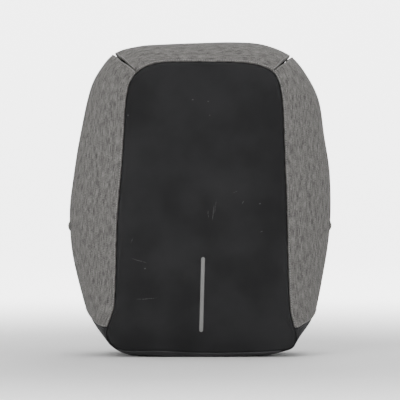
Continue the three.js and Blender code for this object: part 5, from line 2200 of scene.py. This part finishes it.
@dataclass
class Strap:
    """One shoulder strap with its buckle, webbing and anchor."""

    side: Side
    back: Back
    drop: float = 222.0 * MM
    standoff: float = 36.0 * MM
    apart: float = 58.0 * MM
    spread: float = 34.0 * MM
    width: float = 58.0 * MM
    wall: float = 10.0 * MM
    swelling: float = 1.2 * MM
    root_wall: float = 5.0 * MM
    end_width: float = 33.0 * MM
    end_wall: float = 3.2 * MM
    edge_width: float = 5.2 * MM
    edge_wall: float = 6.2 * MM
    edge_end_wall: float = 4.0 * MM
    edge_inset: float = 1.6 * MM
    tongue: float = 15.0 * MM
    lap: float = 9.0 * MM
    web_width: float = 25.0 * MM
    web_wall: float = 1.6 * MM
    web_clear: float = 0.9 * MM
    web_lift: float = 0.6 * MM
    web_row_inset: float = 2.2 * MM
    web_hem_from: float = 16.0 * MM
    web_hem_to: float = 14.0 * MM
    tail: float = 62.0 * MM
    buckle_width: float = 35.0 * MM
    rail_wall: float = 3.6 * MM
    rail_out: float = 0.6 * MM
    rail_slim: float = 0.9 * MM
    buckle_voxel: float = 0.42 * MM
    bar: float = 3.0 * MM
    bar_wall: float = 2.8 * MM
    slot: float = 7.0 * MM
    low_slot: float = 5.0 * MM
    anchor: Patch = Patch(
        width=30.0 * MM, tall=30.0 * MM, wall=2.4 * MM, squareness=12.0, border=0.12, around=120, steps=10
    )
    anchor_row_inset: float = 2.6 * MM
    anchor_inset: float = 13.0 * MM
    anchor_stations: float = 0.5
    face_start: float = 0.16
    bar_tacks: tuple[float, ...] = (0.4, 0.66, 0.9)

    def __post_init__(self) -> None:
        """Works out the strap's middle line, the buckle's own axes and the webbing's way from its anchor."""
        self.gap = self.back.seat_gap
        self.seat = self.back.seat + self.gap + self.anchor.wall
        route = np.array(STRAP_ROUTE)
        x = self.side.value * (self.apart + route[:, 2] * self.spread)
        y = self.seat + self.root_wall / 2.0 + route[:, 1] * self.standoff
        z = self.back.head - self.back.root_below - route[:, 0] * self.drop
        self.line = smooth_path(np.stack([x, y, z], axis=-1), 2.0 * MM)
        self.share = np.linspace(0.0, 1.0, len(self.line))
        along = unit(np.gradient(self.line, axis=0))
        self.wide = unit(SIDEWAYS - along * along[:, :1])
        self.line_off = np.cross(self.wide, along)
        self.line_off *= np.sign(self.line_off[len(along) // 2, 1])
        self.along = unit(self.line[-1] - self.line[-14])
        self.across = unit(SIDEWAYS - self.along * self.along[0])
        self.off = np.cross(self.across, self.along)
        self.off *= np.sign(self.off[1])
        self.origin = self.line[-1] + self.along * self.tongue
        self.bend = self.bar / 2.0 + self.web_clear + self.web_wall / 2.0
        self.plate = 3.0 * self.bar + self.slot + self.low_slot
        station = TIP[self.side] - self.side.value * self.anchor_stations
        self.corner = FORM.zip_edge(station, FORM.zip_width + self.anchor_inset)[XZ]
        self.sewn = at_depth(self.corner, self.seat + self.web_wall / 2.0)
        self.behind = self.in_buckle(self.plate + self.bar, -self.bend)
        self.towards = unit((self.behind - self.sewn) * (SIDEWAYS + UPWARD))
        self.aside = np.cross(REARWARD, self.towards)

    def in_buckle(self, down: Array | float, out: Array | float) -> Array:
        """Points in the buckle's own axes: down it, and off the bag."""
        down, out = (np.asarray(length)[..., None] for length in (down, out))
        return self.origin + self.along * down + self.off * out

    def round_bar(self, middle: float, start: float, stop: float) -> Array:
        """Points round a bar whose middle lies a way down the buckle, from one angle to another."""
        angle = np.linspace(math.radians(start), math.radians(stop), 13)
        return self.in_buckle(middle + self.bend * np.sin(angle), -self.bend * np.cos(angle))

    def profile(self, root: float, middle: float, end: float) -> Array:
        """A size along the strap, which goes smoothly from the root's to the middle's and to the end's."""
        rising = lerp(root, middle, smoothstep(self.share, 0.0, 0.3))
        return lerp(rising, end, smoothstep(self.share, 0.86, 1.0))

    def face_line(self, aside: float, lift: float) -> Array:
        """A line down the padding's outer face, moved aside and lifted off it."""
        thick = self.profile(self.root_wall, self.wall, self.end_wall)
        return self.line + self.line_off * (thick / 2.0 + lift)[:, None] + self.wide * aside

    def padding(self) -> Piece:
        """The padded part: a rounded section along the route, thin at both ends, swollen by simulation.

        Returns:
            The piece.
        """
        wall = self.profile(self.root_wall, self.wall - 2.0 * self.swelling, self.end_wall)
        slim = self.width - 2.0 * MM
        width = self.profile(slim, slim, self.end_width)
        section = rounded_section(width, wall * closing(2.0 * self.share - 1.0, 200.0, 0.05), 4.5, 44)
        rings = sweep(self.line, SIDEWAYS, section)
        obj = make_object(f"strap_padding_{self.side.word}", *closed_tube(rings))
        return swell(obj, voxel=2.8 * MM, pressure=3.0, cap=self.swelling, seat=self.seat)

    def edging(self) -> Piece:
        """The binding along both edges of the padding.

        Returns:
            The piece.
        """
        half = self.profile(self.width, self.width, self.end_width) / 2.0 - self.edge_inset
        thick = self.profile(self.root_wall, self.edge_wall, self.edge_end_wall)
        section = rounded_section(self.edge_width, thick, 2.6, 18)
        paths = (self.line + self.wide * (way * half)[:, None] for way in (-1.0, 1.0))
        tubes = [closed_tube(sweep(path, SIDEWAYS, section)[3:-2]) for path in paths]
        uv = np.concatenate([places for _, _, places in tubes])
        mesh = joined([(points, faces) for points, faces, _ in tubes])
        return make_object(f"strap_binding_{self.side.word}", *mesh, uv)

    def face_webbing(self) -> Piece:
        """The webbing sewn down the padding's outer face, which ends as the tongue round the top bar.

        Returns:
            The piece.
        """
        sewn = self.face_line(0.0, self.web_lift)
        sewn = sewn[int(self.face_start * len(sewn)) : -4 : 8]
        tongue = [
            self.in_buckle(-0.9 * self.tongue, -0.2 * self.bend),
            self.in_buckle(-0.45 * self.tongue, -0.85 * self.bend),
            *self.round_bar(self.bar / 2.0, 0.0, 180.0),
            self.in_buckle(-self.lap, self.bend + self.gap),
        ]
        path = smooth_path(np.concatenate([sewn, np.array(tongue)]), 1.2 * MM)
        leaves = float(np.argmin(np.linalg.norm(path - sewn[-1], axis=-1)))
        blend = smoothstep(np.arange(len(path)), leaves - 20.0, leaves)[:, None]
        section = rounded_section(self.web_width, self.web_wall, 8.0, 20)
        rings = sweep(path, lerp(SIDEWAYS, self.across, blend), section)
        return make_object(f"strap_tongue_{self.side.word}", *closed_tube(rings))

    def stitches(self) -> Piece:
        """Stitches down both edges of the sewn webbing, bars across it, and three sides of a box round the
        anchor.

        Returns:
            The piece.
        """
        lift = self.web_lift + self.web_wall / 2.0
        reach = self.web_width / 2.0 - self.web_row_inset
        middle = self.face_line(0.0, lift)
        off = unit(middle - self.face_line(0.0, 0.0))
        inside = slice(int(self.face_start * len(middle)) + 3, -8)
        rows = [stitch_row(self.face_line(way * reach, lift)[inside], off[inside]) for way in (-1.0, 1.0)]
        for place in self.bar_tacks:
            step = int(place * len(middle))
            ends = (middle[step] - self.across * reach, middle[step] + self.across * reach)
            rows.append(stitch_row(np.linspace(*ends, 12), off[step], TACK_PITCH))
        edge = self.anchor.tall / 2.0 - self.anchor_row_inset
        top = at_depth(self.corner, self.back.seat + self.anchor.wall)
        corners = [top + self.aside * a * edge + self.towards * b * edge for a, b in BOX_CORNERS]
        for ends in zip(corners, corners[1:]):
            rows.append(stitch_row(np.linspace(*ends, 12), REARWARD))
        return make_object(f"strap_stitches_{self.side.word}", *joined(rows))

    def webbing(self) -> Piece:
        """The adjusting webbing: from its anchor up behind the buckle, over its bar and down as a tail.

        Returns:
            The piece.
        """
        bar_middle = self.bar + self.slot + self.bar / 2.0
        rise = self.behind - self.sewn
        hang = self.in_buckle(self.plate + self.bar, self.bend)
        route = [
            self.sewn - self.towards * self.anchor.tall * 0.3,
            self.sewn + self.towards * self.anchor.tall * 0.2,
            self.sewn + self.towards * self.anchor.tall * 0.45,
            self.sewn + rise * 0.55,
            self.sewn + rise * 0.8,
            self.behind,
            self.in_buckle(bar_middle + self.bend, -self.bend),
            *self.round_bar(bar_middle, 0.0, -180.0),
            self.in_buckle(bar_middle + self.bend, self.bend),
            hang,
            hang + [0.0, 1.5 * MM, -0.35 * self.tail],
            hang + [0.0, 0.5 * MM, -0.7 * self.tail],
            hang + [0.0, -2.0 * MM, -self.tail],
        ]
        spacing = 1.0 * MM
        path = smooth_path(np.array(route), spacing)
        share = np.clip((path[:, 2] - self.sewn[2]) / rise[2], 0.0, 1.0)
        run = np.arange(len(path)) * spacing
        before = run < run[np.argmin(np.linalg.norm(path - self.behind, axis=-1))]
        blend = np.where(before, smoothstep(share, 0.2, 0.9), 1.0)[:, None]
        across = unit(lerp(self.aside, self.across, blend))
        hem = 1.0 + 0.9 * smoothstep(run, run[-1] - self.web_hem_from, run[-1] - self.web_hem_to)
        rings = sweep(path, across, rounded_section(self.web_width, self.web_wall * hem, 8.0, 20))
        return make_object(f"strap_web_{self.side.word}", *closed_tube(rings))

    def buckle(self) -> Piece:
        """The ladder buckle: two rails and three bars fused by a fine remesh, as if moulded in one.

        Returns:
            The piece.
        """
        rail = self.buckle_width / 2.0 - (self.buckle_width - self.web_width) / 4.0 + self.rail_out
        rail_width = (self.buckle_width - self.web_width) / 2.0 - self.rail_slim
        down = np.linspace(0.0, self.plate, 24)
        ends = closing(2.0 * down / self.plate - 1.0, 12.0, 0.1)
        section = rounded_section(rail_width * ends, self.rail_wall * ends, 3.2, 20)
        paths = (self.in_buckle(down, 0.0) + self.across * x for x in (-rail, rail))
        rings = [sweep(path, self.across, section) for path in paths]
        section = rounded_section(self.bar, self.bar_wall, 2.8, 16)
        reach = np.linspace(-rail, rail, 30)[:, None]
        for middle in (0.5 * self.bar, 1.5 * self.bar + self.slot, self.plate - 0.5 * self.bar):
            path = self.in_buckle(middle, 0.0) + self.across * reach
            rings.append(sweep(path, self.along, section))
        parts = [closed_tube(ring)[:2] for ring in rings]
        obj = make_object(f"buckle_{self.side.word}", *joined(parts))
        add_remesh(obj, self.buckle_voxel)
        smooth = obj.modifiers.new("smooth", "SMOOTH")
        smooth.factor = 0.5
        smooth.iterations = 4
        bake_modifiers(obj)
        obj.data.shade_smooth()
        return obj

    def build(self, wardrobe: Wardrobe) -> None:
        """Builds and dresses the strap.

        Args:
            wardrobe: the bag's materials.
        """
        word = self.side.word
        padding = dress(self.padding(), wardrobe["mesh"], [f"shoulder_strap_{word}"])
        dress(self.edging(), wardrobe["binding"])
        dress(self.face_webbing(), wardrobe["webbing"])
        dress(self.webbing(), wardrobe["webbing"], [f"strap_webbing_{word}"])
        dress(self.buckle(), wardrobe["buckle"], [f"strap_buckle_{word}"])
        anchor = self.anchor.build(f"anchor_{word}", self.corner, self.towards[XZ], self.back.seat)
        dress(anchor, wardrobe["webbing"], [f"strap_anchor_{word}"])
        dress(self.stitches(), wardrobe["dark_thread"])


class Lamp(NamedTuple):
    """A square soft light that faces the bag's middle: its name, place, side in metres and watts."""

    name: str
    place: tuple[float, float, float]
    size: float
    power: float


LAMPS = (
    Lamp("key_light", (-1.6, -2.0, 3.3), 2.0, 48.0),
    Lamp("top_light", (0.5, 0.2, 3.3), 2.4, 74.0),
    Lamp("back_light", (0.8, 3.0, 2.6), 2.0, 55.0),
    Lamp("front_light", (0.0, -4.2, 0.45), 1.6, 27.0),
)


@dataclass
class Studio:
    """The pale floor that turns up all round into a backlit wall, the soft lights and the camera."""

    distance: float = 3.0
    camera_height: float = 216.7 * MM
    camera_aside: float = -1.41 * MM
    lens: float = 191.77
    aim_height: float = 0.22
    floor_radius: float = 4.6
    turn_radius: float = 1.2
    wall_height: float = 5.0
    glow_from: float = 1.5
    glow_to: float = 3.6
    glow: float = 4.0
    glow_share: float = 0.31
    glow_height: float = 1.5
    white_from: float = 0.25
    white_to: float = 1.9
    air: float = 0.15

    def floor(self) -> Piece:
        """The floor and wall: a flat disc, a quarter circle up and a straight wall, turned round.

        Returns:
            The piece.
        """
        around = 96
        flat = np.stack([np.linspace(0.02, self.floor_radius, 24), np.zeros(24)], axis=-1)
        angle = np.linspace(0.0, math.pi / 2.0, 16)[1:]
        bend = np.stack([np.sin(angle), 1.0 - np.cos(angle)], axis=-1) * self.turn_radius
        wall = np.array([[self.floor_radius + self.turn_radius, self.wall_height]])
        profile = np.concatenate([flat, bend + [self.floor_radius, 0.0], wall])
        turn = np.linspace(0.0, TURN, around, endpoint=False)
        radius, height = profile[:, :1], profile[:, 1:] + 0.0 * turn
        points = np.stack([radius * np.cos(turn), radius * np.sin(turn), height], axis=-1)
        mesh = bpy.data.meshes.new("studio_floor")
        faces = grid_faces(len(profile), around, wrap=True).tolist() + [list(range(around))]
        mesh.from_pydata(points.reshape(-1, 3).tolist(), [], faces)
        mesh.shade_smooth()
        mesh.materials.append(self.paper())
        return put_in("studio_floor", mesh)

    def paper(self) -> bpy.types.Material:
        """White paper, plain near the bag and lit from behind further out, up to a soft edge on the wall.

        The camera sees the paper turn white soon past the bag, while a share of the glow lights the bag
        from further out, as a bright backdrop behind softer lamps does.

        Returns:
            The material.
        """
        material = bpy.data.materials.new("studio_paper")
        material.use_nodes = True
        graph = Graph(material.node_tree)
        sockets = material.node_tree.nodes["Principled BSDF"].inputs
        sockets["Base Color"].default_value = (0.8, 0.8, 0.8, 1.0)
        sockets["Roughness"].default_value = 0.95
        sockets["Emission Strength"].default_value = self.glow
        axes = graph.axes(graph.node("TexCoord").outputs["Object"])
        squares = [graph.math("MULTIPLY", axes[k], axes[k]) for k in (0, 1)]
        radius = graph.math("SQRT", graph.math("ADD", *squares))
        far = graph.math("MULTIPLY", graph.ramp(radius, self.glow_from, self.glow_to), self.glow_share)
        near = graph.ramp(radius, self.white_from, self.white_to)
        near = graph.math("MULTIPLY", near, graph.node("LightPath").outputs["Is Camera Ray"])
        low = graph.ramp(axes[2], self.glow_height, 0.7 * self.glow_height)
        lit = graph.math("MULTIPLY", graph.math("MAXIMUM", far, near), low)
        graph.tree.links.new(lit, sockets["Emission Color"])
        return material

    def light(self, lamp: Lamp) -> None:
        """Hangs a lamp and turns it to the bag's middle.

        Args:
            lamp: what it is and where it hangs.
        """
        data = bpy.data.lights.new(lamp.name, "AREA")
        data.shape = "SQUARE"
        data.size = lamp.size
        data.energy = lamp.power
        way = UPWARD * self.aim_height - np.array(lamp.place)
        yaw = math.atan2(way[0], way[1])
        pitch = math.atan2(way[2], math.hypot(way[0], way[1]))
        light = put_in(lamp.name, data)
        light.location = lamp.place
        light.rotation_euler = (math.pi / 2.0 + pitch, 0.0, -yaw)

    def camera(self) -> Piece:
        """The camera, level and in front of the bag.

        Returns:
            The camera.
        """
        data = bpy.data.cameras.new("camera")
        data.lens = self.lens
        data.sensor_width = 36.0
        camera = put_in("camera", data)
        camera.location = (self.camera_aside, -self.distance, self.camera_height)
        camera.rotation_euler = (math.pi / 2.0, 0.0, 0.0)
        return camera

    def build(self) -> None:
        """Builds the studio."""
        self.floor()
        for lamp in LAMPS:
            self.light(lamp)
        world = bpy.data.worlds.new("studio_air")
        world.use_nodes = True
        ground = world.node_tree.nodes["Background"].inputs
        ground[0].default_value = (1.0, 1.0, 1.0, 1.0)
        ground[1].default_value = self.air
        bpy.context.scene.world = world
        bpy.context.scene.camera = self.camera()


def main() -> None:
    """Builds the studio and then the bag, piece by piece."""
    logging.basicConfig(level=logging.INFO, format="%(name)s %(message)s")
    Studio().build()
    wardrobe = Wardrobe()
    Shell().build(wardrobe)
    Front().build(wardrobe)
    SideTabs().build(wardrobe)
    Zip().build(wardrobe)
    back = Back()
    back.build(wardrobe)
    for side in Side:
        Strap(side, back).build(wardrobe)


if __name__ == "__main__":
    main()
